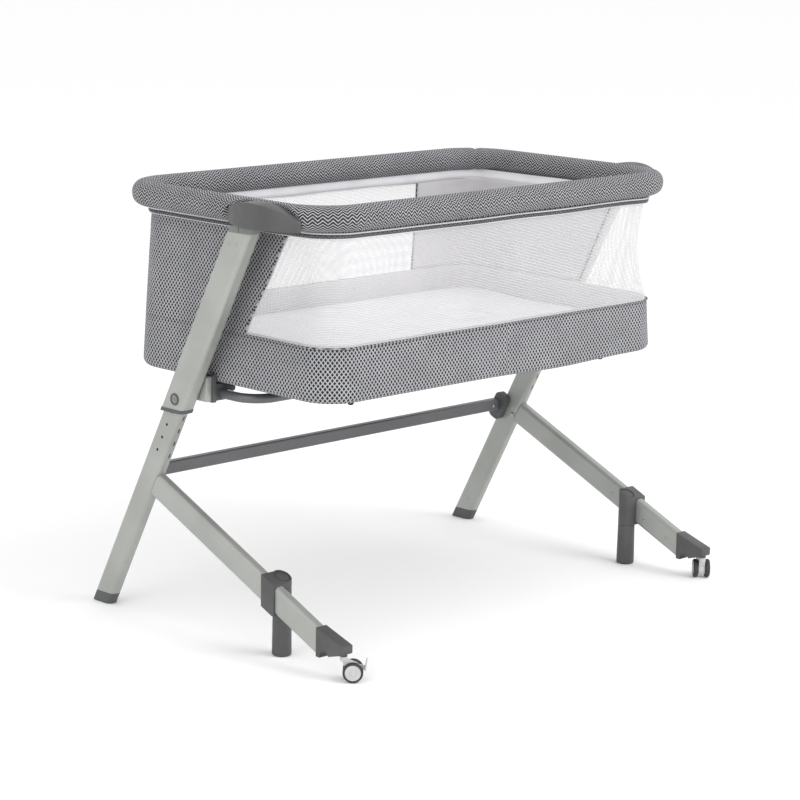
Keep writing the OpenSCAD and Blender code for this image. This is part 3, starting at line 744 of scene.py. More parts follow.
@dataclass
class Dresser:
    """Puts finishes on pieces and hands them to the frame."""

    palette: Palette

    def own(self, piece: Piece, finish: str, body: str, slot: str, *replaced: str) -> Piece:
        """Finishes a piece of scene.py's own.

        Args:
            piece: The finished mesh object.
            finish: The palette's key.
            body: The CAD body that it rides on.
            slot: Not used.
            *replaced: CAD nodes that it stands for.

        Returns:
            The piece.
        """
        piece.data.materials.clear()
        piece.data.materials.append(self.palette[finish])
        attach(piece, body)
        if replaced:
            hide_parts(*replaced)
        LOG.info("%s rides on %s", piece.name, body)
        return piece

    def cad(self, node: str, finish: str) -> None:
        """Gives a CAD node a finish.

        Args:
            node: The CAD node.
            finish: The palette's key.
        """
        piece = frame["nodes"][node]
        piece.data.materials.clear()
        piece.data.materials.append(self.palette[finish])
        LOG.info("%s keeps its shape", node)

    def softened(
        self,
        node: str,
        finish: str,
        slot: str,
        radius_mm: float,
        segments: int = 3,
        limit: float = 35,
    ) -> Piece:
        """Replaces a CAD node with a copy whose edges are rounded.

        Args:
            node: The CAD node.
            finish: The palette's key.
            slot: The record's material slot.
            radius_mm: The edges' radius.
            segments: Faces across each rounded edge.
            limit: The sharpest angle, in degrees, that stays as it is.

        Returns:
            The rounded piece.
        """
        source = frame["nodes"][node]
        piece = bpy.data.objects.new(node + "_rounded", source.data.copy())
        bpy.context.scene.collection.objects.link(piece)
        select_only(piece)
        bpy.ops.object.mode_set(mode="EDIT")
        bpy.ops.mesh.select_all(action="SELECT")
        bpy.ops.mesh.remove_doubles(threshold=0.00002)
        bpy.ops.mesh.dissolve_limited(angle_limit=math.radians(1.5))
        bpy.ops.object.mode_set(mode="OBJECT")
        apply_modifier(
            piece,
            "BEVEL",
            width=radius_mm * MM,
            segments=segments,
            limit_method="ANGLE",
            angle_limit=math.radians(limit),
            harden_normals=False,
            use_clamp_overlap=True,
        )
        smooth(piece, 30)
        return self.own(piece, finish, source["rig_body"], slot, node)


# ---------------------------------------------------------------- cradle shapes


@dataclass(frozen=True)
class Outline:
    """A rounded rectangle seen from above.

    A run is a place on it, in metres from the middle of the front, first towards +X.
    """

    half_len: float
    half_dep: float
    corner: float
    centre_y: float

    @classmethod
    def of(cls, node: str, corner: float, trim: float = 0.0) -> "Outline":
        """Takes the outline of a CAD node's box, drawn in by trim.

        Args:
            node: The CAD node.
            corner: The corners' radius before trimming.
            trim: How far the sides are drawn in.

        Returns:
            The outline.
        """
        low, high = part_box(node)
        half_dep = (high.y - low.y) / 2 - trim
        return cls(high.x - trim, half_dep, corner, (high.y + low.y) / 2)

    def runs(self, step: float) -> list[float]:
        """Returns runs all the way round, about step apart."""
        return steps(0, self.total, step)[:-1]

    @property
    def front_run(self) -> float:
        """Half the straight part of the front."""
        return self.half_len - self.corner

    @property
    def arc(self) -> float:
        """Length of one corner."""
        return self.corner * math.pi / 2

    @property
    def end_run(self) -> float:
        """Length of the straight part of an end."""
        return 2 * (self.half_dep - self.corner)

    @property
    def total(self) -> float:
        """Length of the whole outline."""
        return 4 * self.front_run + 4 * self.arc + 2 * self.end_run

    def at(self, run: float, inset: float = 0.0, end_inset: Optional[float] = None) -> Span:
        """Returns X and Y at a run, moved inwards by inset, or by end_inset on the ends.

        Args:
            run: The run.
            inset: How far in, everywhere or at the front and back.
            end_inset: How far in at the ends, where that differs.

        Returns:
            X and Y.
        """
        run %= self.total
        flip = 1.0
        if run > self.total / 2:
            run, flip = self.total - run, -1.0
        x, y, nx, ny = self._right_half(run)
        if end_inset is not None:
            inset = inset * ny * ny + end_inset * nx * nx
        return flip * (x - nx * inset), self.centre_y + y - ny * inset

    def _right_half(self, run: float) -> tuple[float, float, float, float]:
        """Returns the place and outward normal on the half at +X.

        Args:
            run: A run from 0 to half the total.

        Returns:
            X and Y, less the middle's Y, and the normal's X and Y.
        """
        if run <= self.front_run:
            return run, -self.half_dep, 0.0, -1.0
        run -= self.front_run
        if run <= self.arc:
            angle = run / self.corner - math.pi / 2
            return self._corner(angle, -1)
        run -= self.arc
        if run <= self.end_run:
            return self.half_len, run - self.end_run / 2, 1.0, 0.0
        run -= self.end_run
        if run <= self.arc:
            return self._corner(run / self.corner, 1)
        return self.front_run - (run - self.arc), self.half_dep, 0.0, 1.0

    def _corner(self, angle: float, side: int) -> tuple[float, float, float, float]:
        """Returns the place and normal on a corner's arc."""
        nx, ny = math.cos(angle), math.sin(angle)
        return self.front_run + self.corner * nx, side * self.end_run / 2 + self.corner * ny, nx, ny

    def run_at_end(self, y: float) -> float:
        """Returns the run of the point of the +X end at y."""
        return self.front_run + self.arc + (y - self.centre_y) + self.end_run / 2


@dataclass
class Rail:
    """The padded rail: a knit tube of padding round the steel ring."""

    dresser: Dresser
    corner: float = 0.080
    power: float = 2.25
    around: int = 30
    step: float = 0.008
    slack: float = 0.0018
    skin: float = 0.0005
    pressure: float = 3.0
    swell: float = 0.004
    seam_depth: float = 0.0022
    seam_half_width: float = 0.004
    seam_reach: float = 0.06
    arch_foot: float = 0.019
    arch_rise: float = 0.027

    def build(self) -> Piece:
        """Models the rail's cover.

        Returns:
            The rail's cover.
        """
        low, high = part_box("rail_pad")
        half_w = (high.z - low.z) / 2 - self.skin
        outline = Outline.of("rail_pad", self.corner, half_w)
        centre_z = (high.z + low.z) / 2
        runs = outline.runs(self.step)
        size = half_w - self.slack
        rows, uvs = [], []
        for i in range(self.around):
            angle = 2 * math.pi * i / self.around - math.pi / 2
            out, up = (self._power(f(angle)) * size for f in (math.cos, math.sin))
            rows.append([Vector((*outline.at(run, -out), centre_z + up)) for run in runs])
            uvs.append([(run, i * 2 * math.pi * size / self.around * 1.05) for run in runs])
        piece = from_rows("rail_cover", rows, uvs, closed=True, wraps=True)
        inflate(piece, self.pressure, self.swell)
        apply_modifier(piece, "SUBSURF", levels=1, render_levels=1)
        self._tuck(piece, outline)
        smooth(piece, 180)
        self.dresser.own(piece, "rail", "cradle", "knit_fabric", "rail_pad")
        return piece

    def _power(self, value: float) -> float:
        """Flattens a circle's coordinate a little towards a square's."""
        return math.copysign(abs(value) ** (2 / self.power), value)

    def _tuck(self, piece: Piece, outline: Outline) -> None:
        """Sews the back corners' seams and tucks the cover in behind the end brackets.

        Args:
            piece: The rail's cover.
            outline: The rail's middle line.
        """
        low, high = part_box("bracket_cover_left")
        middle, half = (low.y + high.y) / 2, (high.y - low.y) / 2
        away = outline.front_run + outline.arc / 2
        seams = [outline.total / 2 - side * away for side in (-1, 1)]
        corners = [Vector((*outline.at(run), 0)) for run in seams]
        for vertex in piece.data.vertices:
            place = vertex.co
            for corner in corners:
                across = (place - corner).cross(Vector((0, 0, 1))).xy.length
                flat = Vector((place.x - corner.x, place.y - corner.y))
                tangent = Vector((-math.copysign(1, corner.x), 1)).normalized()
                offset = flat.dot(Vector((tangent.x, tangent.y)))
                if across < self.seam_reach:
                    pinch = self.seam_depth * math.exp(-((offset / self.seam_half_width) ** 2))
                    vertex.co -= vertex.normal * pinch
            inside_y = 1 - ramp(half - 0.003, half + 0.006, abs(place.y - middle))
            rise = low.z + self.arch_foot + self.arch_rise * (1 - ((place.y - middle) / half) ** 2)
            below = 1 - ramp(rise - 0.002, rise + 0.006, place.z)
            beyond = abs(place.x) - (abs(high.x) - self.skin)
            if beyond > 0:
                vertex.co.x -= math.copysign(beyond * inside_y * below, place.x)


@dataclass
class FabricBody:
    """The sewn walls: skirt, end and back panels, front and back nets, hems and lining."""

    dresser: Dresser
    corner: float = 0.068
    step: float = 0.009
    top_inset: float = 0.015
    bottom_round: float = 0.012
    window_round: float = 0.007
    net_pull: float = 0.016
    net_seam: float = 0.004
    window_seam: float = 0.003
    skirt_cut: float = 0.092
    sag: float = 0.004
    sag_from: float = 0.05
    sag_at: float = 0.14
    sag_half_width: float = 0.11
    creases: Span = (0.0022, 0.0008)
    crease_fade: float = 0.02
    edging: float = 0.0015
    edging_out: float = 0.0006
    wander: float = 0.0022

    def __post_init__(self) -> None:
        """Takes the walls' sizes and heights from the frame."""
        low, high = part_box("skirt")
        self.outline = Outline.of("skirt", self.corner)
        self.bottom, self.skirt_top = low.z, high.z
        self.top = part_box("end_panel_left")[1].z + self.window_seam
        self.window_low, window_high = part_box("back_mesh")
        self.window_half = window_high.x
        axis = next(j for j in frame["joints"] if j["name"] == "cradle_height")["axis"]
        self.lean = axis[1] / axis[2]
        self.edge_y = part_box("front_mesh")[1].y

    def edge_run(self, z: float) -> float:
        """Returns the run of the front net's edge at height z.

        Args:
            z: The height.

        Returns:
            The run.
        """
        y = self.edge_y + (z - self.skirt_top) * self.lean
        rise = z - self.skirt_top
        turn = 0.0
        if rise < self.window_round:
            left = self.window_round - max(0.0, rise)
            turn = self.window_round - math.sqrt(max(0.0, self.window_round**2 - left**2))
        return self.outline.run_at_end(y) - turn

    def inset(self, run: float, z: float, net: float = 0.0) -> float:
        """Returns how far the wall stands in from the outline at a run and height.

        Args:
            run: The run.
            z: The height.
            net: How far a net is pulled in at mid height.

        Returns:
            The inset, creases included.
        """
        value = self.top_inset * (z - self.bottom) / (self.top - self.bottom)
        if z < self.bottom + self.bottom_round:
            left = self.bottom + self.bottom_round - z
            value += self.bottom_round - math.sqrt(max(0.0, self.bottom_round**2 - left**2))
        x, y = self.outline.at(run)
        broad, fine = self.creases
        crease = noise.noise(Vector((x * 9, y * 9, z * 7))) * broad
        crease += noise.noise(Vector((x * 26 + 5, y * 26, z * 16))) * fine
        fade = ramp(self.bottom, self.bottom + self.crease_fade, z)
        fade *= 1 - ramp(self.top - self.crease_fade, self.top, z)
        if net:
            rise = (z - self.skirt_top) / (self.top - self.skirt_top)
            value += net * math.sin(math.pi * min(1, max(0, rise))) ** 0.8
        return value + crease * fade

    def wall(
        self,
        name: str,
        heights: Sequence[float],
        columns: Callable[[float], Sequence[float]],
        closed: bool = False,
        net: float = 0.0,
        inner: float = 0.0,
        keep: Optional[Callable[[int, int], bool]] = None,
    ) -> Piece:
        """Builds one sheet of the wall.

        Args:
            name: The piece's name.
            heights: The rows' heights.
            columns: Gives the runs of a row's points at its height.
            closed: Whether the sheet goes all the way round.
            net: How far the sheet is pulled in at mid height.
            inner: How far it lies inside the outer face.
            keep: Tells which faces are wanted.

        Returns:
            The sheet.
        """
        rows, uvs = [], []
        for z in heights:
            runs = columns(z)
            pull = [net * self._free(run, z) for run in runs]
            rows.append(
                [
                    Vector((*self.outline.at(run, self.inset(run, z, p) + inner), z))
                    for run, p in zip(runs, pull)
                ]
            )
            uvs.append([(run, z) for run in runs])
        piece = from_rows(name, rows, uvs, closed=closed, keep=keep)
        smooth(piece, 60)
        return piece

    def _free(self, run: float, z: float) -> float:
        """Returns 0 at the net's sewn side edges and 1 away from them."""
        distance = self.edge_run(z) - min(run % self.outline.total, (-run) % self.outline.total)
        return ramp(0.0, 0.06, distance)

    def front_columns(self, z: float) -> list[float]:
        """Returns the front net's runs at height z.

        Args:
            z: The height.

        Returns:
            The runs.
        """
        edge = self.edge_run(z)
        count = round(2 * self.edge_run(self.top) / self.step)
        return [edge * (2 * i / count - 1) for i in range(count + 1)]

    def back_columns(self, z: float) -> list[float]:
        """Returns the back and end panels' runs at height z, with the window's sides among them.

        Args:
            z: The height.

        Returns:
            The runs.
        """
        edge, middle = self.edge_run(z), self.outline.total / 2
        side = middle - self.window_half - edge
        count = round((middle - self.window_half - self.edge_run(self.top)) / self.step)
        first = [edge + side * i / count for i in range(count)]
        window = steps(middle - self.window_half, middle + self.window_half, self.step)
        last = [2 * middle - run for run in reversed(first)]
        self.window_columns = (count, count + len(window) - 1)
        return first + window + last

    def build(self) -> None:
        """Models every sheet, seam and hem of the walls."""
        self.skirt()
        self.panels()
        self.nets()
        self.linings()
        self.hems()

    def skirt(self) -> None:
        """Models the knit skirt, turned under at the bottom."""
        runs = self.outline.runs(self.step)
        heights = [
            self.bottom + self.bottom_round * (1 - math.cos(turn))
            for turn in steps(0.15, math.pi / 2, 0.3)
        ]
        heights += steps(heights[-1], self.skirt_top, self.step)[1:]
        piece = self.wall("skirt_knit", heights, lambda z: runs, closed=True)
        for vertex in piece.data.vertices:
            hang = 1 - ramp(self.bottom, self.bottom + self.sag_from, vertex.co.z)
            belly = math.exp(-(((vertex.co.x - self.sag_at) / self.sag_half_width) ** 2))
            belly *= 1 if vertex.co.y < 0 else 0.4
            vertex.co.z -= hang * self.sag * belly
        flat = (self.outline.total, self.skirt_cut)
        self._sheet(piece, "body", "knit_fabric", flat, "gathered", "skirt")

    def panels(self) -> None:
        """Models the knit panel that covers both ends and the back, round the back window."""
        sill = self.window_low.z
        heights = steps(self.skirt_top, sill, self.step)
        first = len(heights) - 1
        heights += steps(sill, self.top, self.step)[1:]
        self.back_columns(sill)
        low, high = self.window_columns
        piece = self.wall(
            "panel_knit",
            heights,
            self.back_columns,
            keep=lambda r, c: not (r >= first and low <= c < high),
        )
        tall = self.top - self.skirt_top
        wide = self.outline.total - 2 * self.edge_run(self.skirt_top)
        hole = 2 * self.window_half * (self.top - sill)
        middle = (self.edge_run(self.skirt_top) + self.edge_run(self.top)) / 2
        area = (self.outline.total - 2 * middle) * tall - hole
        wide = max(wide, self.outline.total - 2 * self.edge_run(self.top))
        self._sheet(
            piece,
            "body",
            "knit_fabric",
            (wide, tall),
            "stretched",
            "end_panel_left",
            "end_panel_right",
            area=area,
        )

    def nets(self) -> None:
        """Models the front net, which wraps both corners, and the back window's net."""
        heights = steps(self.skirt_top - self.net_seam, self.top, self.step)
        front = self.wall("front_net", heights, self.front_columns, net=self.net_pull)
        tall = self.top - self.skirt_top
        middle = self.edge_run(self.skirt_top) + self.edge_run(self.top)
        self._sheet(
            front,
            "net",
            "mesh_fabric",
            (2 * self.edge_run(self.skirt_top + self.window_round), tall + self.net_seam),
            "stretched",
            "front_mesh",
            area=middle * tall,
            thick=0,
        )
        back = self.wall(
            "back_net",
            steps(self.window_low.z - self.window_seam, self.top, self.step),
            lambda z: steps(
                self.outline.total / 2 - self.window_half - self.window_seam,
                self.outline.total / 2 + self.window_half + self.window_seam,
                self.step,
            ),
            inner=NET_IN,
        )
        tall = self.top - self.window_low.z + self.window_seam
        flat = (2 * self.window_half + 2 * self.window_seam, tall)
        self._sheet(back, "net", "mesh_fabric", flat, "stretched", "back_mesh", thick=0)

    def linings(self) -> None:
        """Models the light lining inside the walls."""
        runs = self.outline.runs(self.step)
        sill = self.window_low.z
        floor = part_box("mattress")[0].z
        heights = steps(floor, sill, self.step)
        ring = self.wall("lining_low", heights, lambda z: runs, closed=True, inner=LINING_IN)
        flat = (self.outline.total, sill - floor)
        self._sheet(ring, "lining", "mattress_fabric", flat, "stretched", thick=0.8)
        low, high = self.window_columns
        piece = self.wall(
            "lining_panel",
            steps(sill, self.top, self.step),
            self.back_columns,
            inner=LINING_IN,
            keep=lambda r, c: not low <= c < high,
        )
        tall = self.top - sill
        middle = (self.edge_run(sill) + self.edge_run(self.top)) / 2
        area = (self.outline.total - 2 * middle - 2 * self.window_half) * tall
        flat = (self.outline.total - 2 * self.edge_run(self.top), tall)
        self._sheet(piece, "lining", "mattress_fabric", flat, "stretched", area=area, thick=0.8)

    def hems(self) -> None:
        """Models the double hem under the rail, its zip and the rolled edges of the windows."""
        runs = self.outline.runs(self.step)
        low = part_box("rail_pad")[0].z
        front, end = self.top_inset - 0.002, self.top_inset - 0.006
        bands = (
            ("hem_upper", "rail", "knit_fabric", 0.0105, 1.0,
             ((0.004, 0, -0.008), (0.0005, -0.002, -0.002), (-0.0016, -0.0025, -0.0005))),
            ("hem_lower", "hem", "knit_fabric", 0.0105, 1.0,
             ((-0.0028, 0, 0.001), (-0.0048, -0.0022, -0.001), (-0.0080, -0.0022, -0.001),
              (-0.0106, 0, 0.002))),
            ("hem_facing", "piping", "mattress_fabric", 0.022, 0.8,
             ((0.006, 0.006, 0), (-0.006, 0.007, 0.008), (-0.013, 0.0065, 0.0095))),
        )
        for name, finish, slot, width, thick, profile in bands:
            places = [(z, front + out, end + past) for z, out, past in profile]
            piece = self._band(name, runs, places)
            flat = (self.outline.total, width)
            self._sheet(piece, finish, slot, flat, "stretched", thick=thick)
            if name == "hem_upper":
                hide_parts("zip_band")
        for name, drop, out, radius, finish in (
            ("piping_upper", 0.0022, 0.0030, 0.0013, "piping"),
            ("zip_coil", 0.0036, 0.0012, 0.0012, "zip"),
            ("piping_lower", 0.0108, 0.0008, 0.0008, "piping"),
        ):
            height, past = low - drop, end - out + 0.002
            path = [self._hem_point(run, height, front - out, past) for run in runs]
            self._cordlike(name, path, radius, finish, closed=True)
        heights = steps(self.skirt_top + 0.0005, self.top - 0.004, 0.005)
        for side, name in ((-1, "left"), (1, "right")):
            path = [self._on_wall(side * self.edge_run(z), z) for z in heights]
            self._cordlike(f"window_roll_{name}", path, self.edging, "body")
        edge = self.edge_run(self.skirt_top)
        path = [self._on_wall(run, self.skirt_top) for run in steps(-edge, edge, self.step)]
        self._cordlike("skirt_roll", path, self.edging, "body")

    def _on_wall(self, run: float, z: float) -> Vector:
        """Returns a point a little outside the wall's face."""
        return Vector((*self.outline.at(run, self.inset(run, z) - self.edging_out), z))

    def _hem_point(self, run: float, z: float, front: float, end: float) -> Vector:
        """Returns a point of the hem, which wanders a little up and down.

        Args:
            run: The run.
            z: The height before it wanders.
            front: The inset at the front and back.
            end: The inset at the ends.

        Returns:
            The point.
        """
        x, y = self.outline.at(run, front, end)
        drop = self.wander * noise.noise(Vector((x * 8, y * 8, 1.7)))
        return Vector((x, y, z + drop))

    def _band(
        self, name: str, runs: Sequence[float], profile: Sequence[tuple[float, float, float]]
    ) -> Piece:
        """Builds a narrow band right round the walls.

        Args:
            name: The piece's name.
            runs: Where its points lie along the outline.
            profile: From the top down, the height over the rail's underside and the insets at
                the front and the ends.

        Returns:
            The band, a single layer.
        """
        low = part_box("rail_pad")[0].z
        rows = [
            [self._hem_point(run, low + z, front, end) for run in runs]
            for z, front, end in reversed(profile)
        ]
        uvs = [[(run, z) for run in runs] for z, _, _ in reversed(profile)]
        piece = from_rows(name, rows, uvs, closed=True)
        smooth(piece, 180)
        return piece

    def _cordlike(
        self,
        name: str,
        path: Sequence[Vector],
        radius: float,
        finish: str,
        closed: bool = False,
    ) -> None:
        """Sews a thin round edging along a path.

        Args:
            name: The edging's name.
            path: Its middle line.
            radius: Its radius.
            finish: The palette's key.
            closed: Whether its ends join.
        """
        curve = bpy.data.curves.new(name, "CURVE")
        curve.dimensions = "3D"
        curve.bevel_depth, curve.bevel_resolution = radius, 2
        curve.use_fill_caps = not closed
        spline = curve.splines.new("POLY")
        spline.points.add(len(path) - 1)
        for point, place in zip(spline.points, path):
            point.co = (*place, 1)
        spline.use_cyclic_u = closed
        holder = bpy.data.objects.new(name, curve)
        bpy.context.scene.collection.objects.link(holder)
        select_only(holder)
        bpy.ops.object.convert(target="MESH")
        piece = bpy.context.view_layer.objects.active
        self._edge_uv(piece)
        recalculate(piece)
        smooth(piece, 60)
        self.dresser.own(piece, finish, "cradle", "knit_fabric")

    @staticmethod
    def _edge_uv(piece: Piece) -> None:
        """Gives an edging a UV map that follows its place.

        Args:
            piece: The edging.
        """
        mesh = piece.data
        while mesh.uv_layers:
            mesh.uv_layers.remove(mesh.uv_layers[0])
        layer = mesh.uv_layers.new(name="UVMap")
        for loop in mesh.loops:
            place = mesh.vertices[loop.vertex_index].co
            layer.data[loop.index].uv = (place.x + place.y, place.z)

    def _sheet(
        self,
        piece: Piece,
        finish: str,
        slot: str,
        flat: tuple[float, float],
        held: str,
        *replaced: str,
        area: Optional[float] = None,
        thick: float = 1.2,
    ) -> None:
        """Args:
            piece: The sheet, a single layer.
            finish: The palette's key.
            slot: The record's material slot.
            flat: The flat cut's width and length; not used.
            held: How the cloth is held; not used.
            *replaced: CAD nodes that it stands for.
            area: The cut's area, where it isn't a rectangle; not used.
            thick: Its thickness in millimetres, or 0 for a net.
        """
        if thick:
            apply_modifier(piece, "SOLIDIFY", thickness=thick * MM, offset=-1)
        self.dresser.own(piece, finish, "cradle", slot, *replaced)


@dataclass
class Mattress:
    """The thin mattress: a padded block with a rolled edge and a quilted top."""

    dresser: Dresser
    corner: float = 0.05
    step: float = 0.011
    trim: float = 0.003
    swell: float = 0.004
    crown: float = 0.004
    quilt: float = 0.0012
    quilts_per_metre: float = 190.0

    def build(self) -> Piece:
        """Models the mattress.

        Returns:
            The mattress.
        """
        low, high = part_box("mattress")
        outline = Outline.of("mattress", self.corner, self.trim)
        runs = outline.runs(self.step)
        tall = high.z - low.z
        rows = [[Vector((*outline.at(run, 0.012), low.z + 0.0005)) for run in runs]]
        for z in steps(low.z + 0.004, high.z - 0.004, 0.008):
            swell = self.swell * math.sin(math.pi * (z - low.z) / tall)
            rows.append([Vector((*outline.at(run, self.swell - swell), z)) for run in runs])
        rows.append([Vector((*outline.at(run, 0.010), high.z - 0.001)) for run in runs])
        for inset in steps(0.024, 0.19, 0.012):
            rise = high.z + self.crown * ramp(0.0, 0.15, inset)
            rows.append([self._shrunk(outline, run, inset, rise) for run in runs])
        uvs = [[(p.x, p.y) for p in row] for row in rows]
        piece = from_rows("mattress_pad", rows, uvs, closed=True)
        self._close(piece)
        inflate(piece, 1.5, 0.003, 12)
        smooth(piece, 180)
        self.dresser.own(piece, "mattress", "cradle", "mattress_fabric", "mattress")
        return piece

    def _shrunk(self, outline: Outline, run: float, inset: float, z: float) -> Vector:
        """Returns a point of the top, on the outline drawn in towards the middle.

        Args:
            outline: The mattress's outline.
            run: The run.
            inset: How far in.
            z: The height before quilting.

        Returns:
            The point.
        """
        x, y = outline.at(run, 0.010)
        share = 1 - inset / outline.half_dep
        long_share = 1 - inset / outline.half_len
        turns = [math.sin(place * self.quilts_per_metre) for place in (x, y)]
        quilt = self.quilt * turns[0] * turns[1]
        across = outline.centre_y + (y - outline.centre_y) * share
        return Vector((x * long_share, across, z + quilt))

    @staticmethod
    def _close(piece: Piece) -> None:
        """Closes the top and bottom.

        Args:
            piece: The mattress.
        """
        select_only(piece)
        bpy.ops.object.mode_set(mode="EDIT")
        bpy.ops.mesh.select_all(action="DESELECT")
        bpy.ops.mesh.select_non_manifold(extend=False)
        bpy.ops.mesh.edge_face_add()
        bpy.ops.mesh.select_all(action="SELECT")
        bpy.ops.mesh.normals_make_consistent(inside=False)
        bpy.ops.object.mode_set(mode="OBJECT")


# ------------------------------------------------------------------ hard pieces


@dataclass
class Stand:
    """Legs, crossbar, posts and casters."""

    dresser: Dresser

    def build(self) -> None:
        """Finishes the stand's pieces."""
        d = self.dresser
        for node in ("leg_tube", "front_leg_tube"):
            for side in ("left", "right"):
                d.cad(f"{node}_{side}", "leg")
        d.cad("crossbar", "crossbar")
        for node in ("frame_rivets", "post_screws"):
            d.cad(node, "steel")
        d.cad("leg_top_guides", "dark")
        d.softened("post_top_discs", "grey", "frame_plastic", 0.4, 2)
        for side in ("left", "right"):
            d.softened(f"back_foot_cap_{side}", "dark", "frame_plastic", 1.0)
            d.softened(f"caster_housing_{side}", "grey", "frame_plastic", 2.6)
            d.softened(f"post_barrel_{side}", "grey", "frame_plastic", 0.9)
            d.softened(f"post_foot_{side}", "grey", "frame_plastic", 1.6)
            d.softened(f"crossbar_bracket_{side}", "dark", "dark_plastic", 1.8)
            d.softened(f"caster_fork_{side}", "caster", "caster_plastic", 0.7)
            d.softened(f"brake_lever_{side}", "caster", "caster_plastic", 0.6)
            d.softened(f"caster_tyres_{side}", "tyre", "caster_tyre", 1.1, 3, 25)
            d.softened(f"caster_hubs_{side}", "caster", "caster_plastic", 0.5)
            d.cad(f"caster_axle_{side}", "steel")
            d.cad(f"brake_pin_{side}", "steel")


@dataclass
class CradleFrame:
    """Sleeves, buttons, brackets and the under-frame."""

    dresser: Dresser

    def build(self) -> None:
        """Finishes the cradle's hard pieces."""
        d = self.dresser
        d.softened("sleeve_stubs", "sleeve", "sleeve_tube", 1.5)
        d.softened("base_feet", "foot", "base_foot", 0.8)
        d.cad("sleeve_rivets", "steel")
        d.cad("under_frame_tube", "under_tube")
        d.cad("rail_tube", "under_tube")
        d.cad("base_board", "base")
        for side in ("left", "right"):
            d.cad(f"sleeve_tube_{side}", "sleeve")
            d.softened(f"sleeve_collar_{side}", "dark", "dark_plastic", 0.8)
            d.softened(f"button_bezel_{side}", "dark", "dark_plastic", 0.4)
            d.softened(f"release_button_{side}", "button", "button_plastic", 0.3)
            d.cad(f"bracket_socket_{side}", "socket")
            d.softened(f"bracket_cover_{side}", "grey", "frame_plastic", 4.0, 4)
            d.softened(f"base_joint_{side}", "dark", "dark_plastic", 1.2)


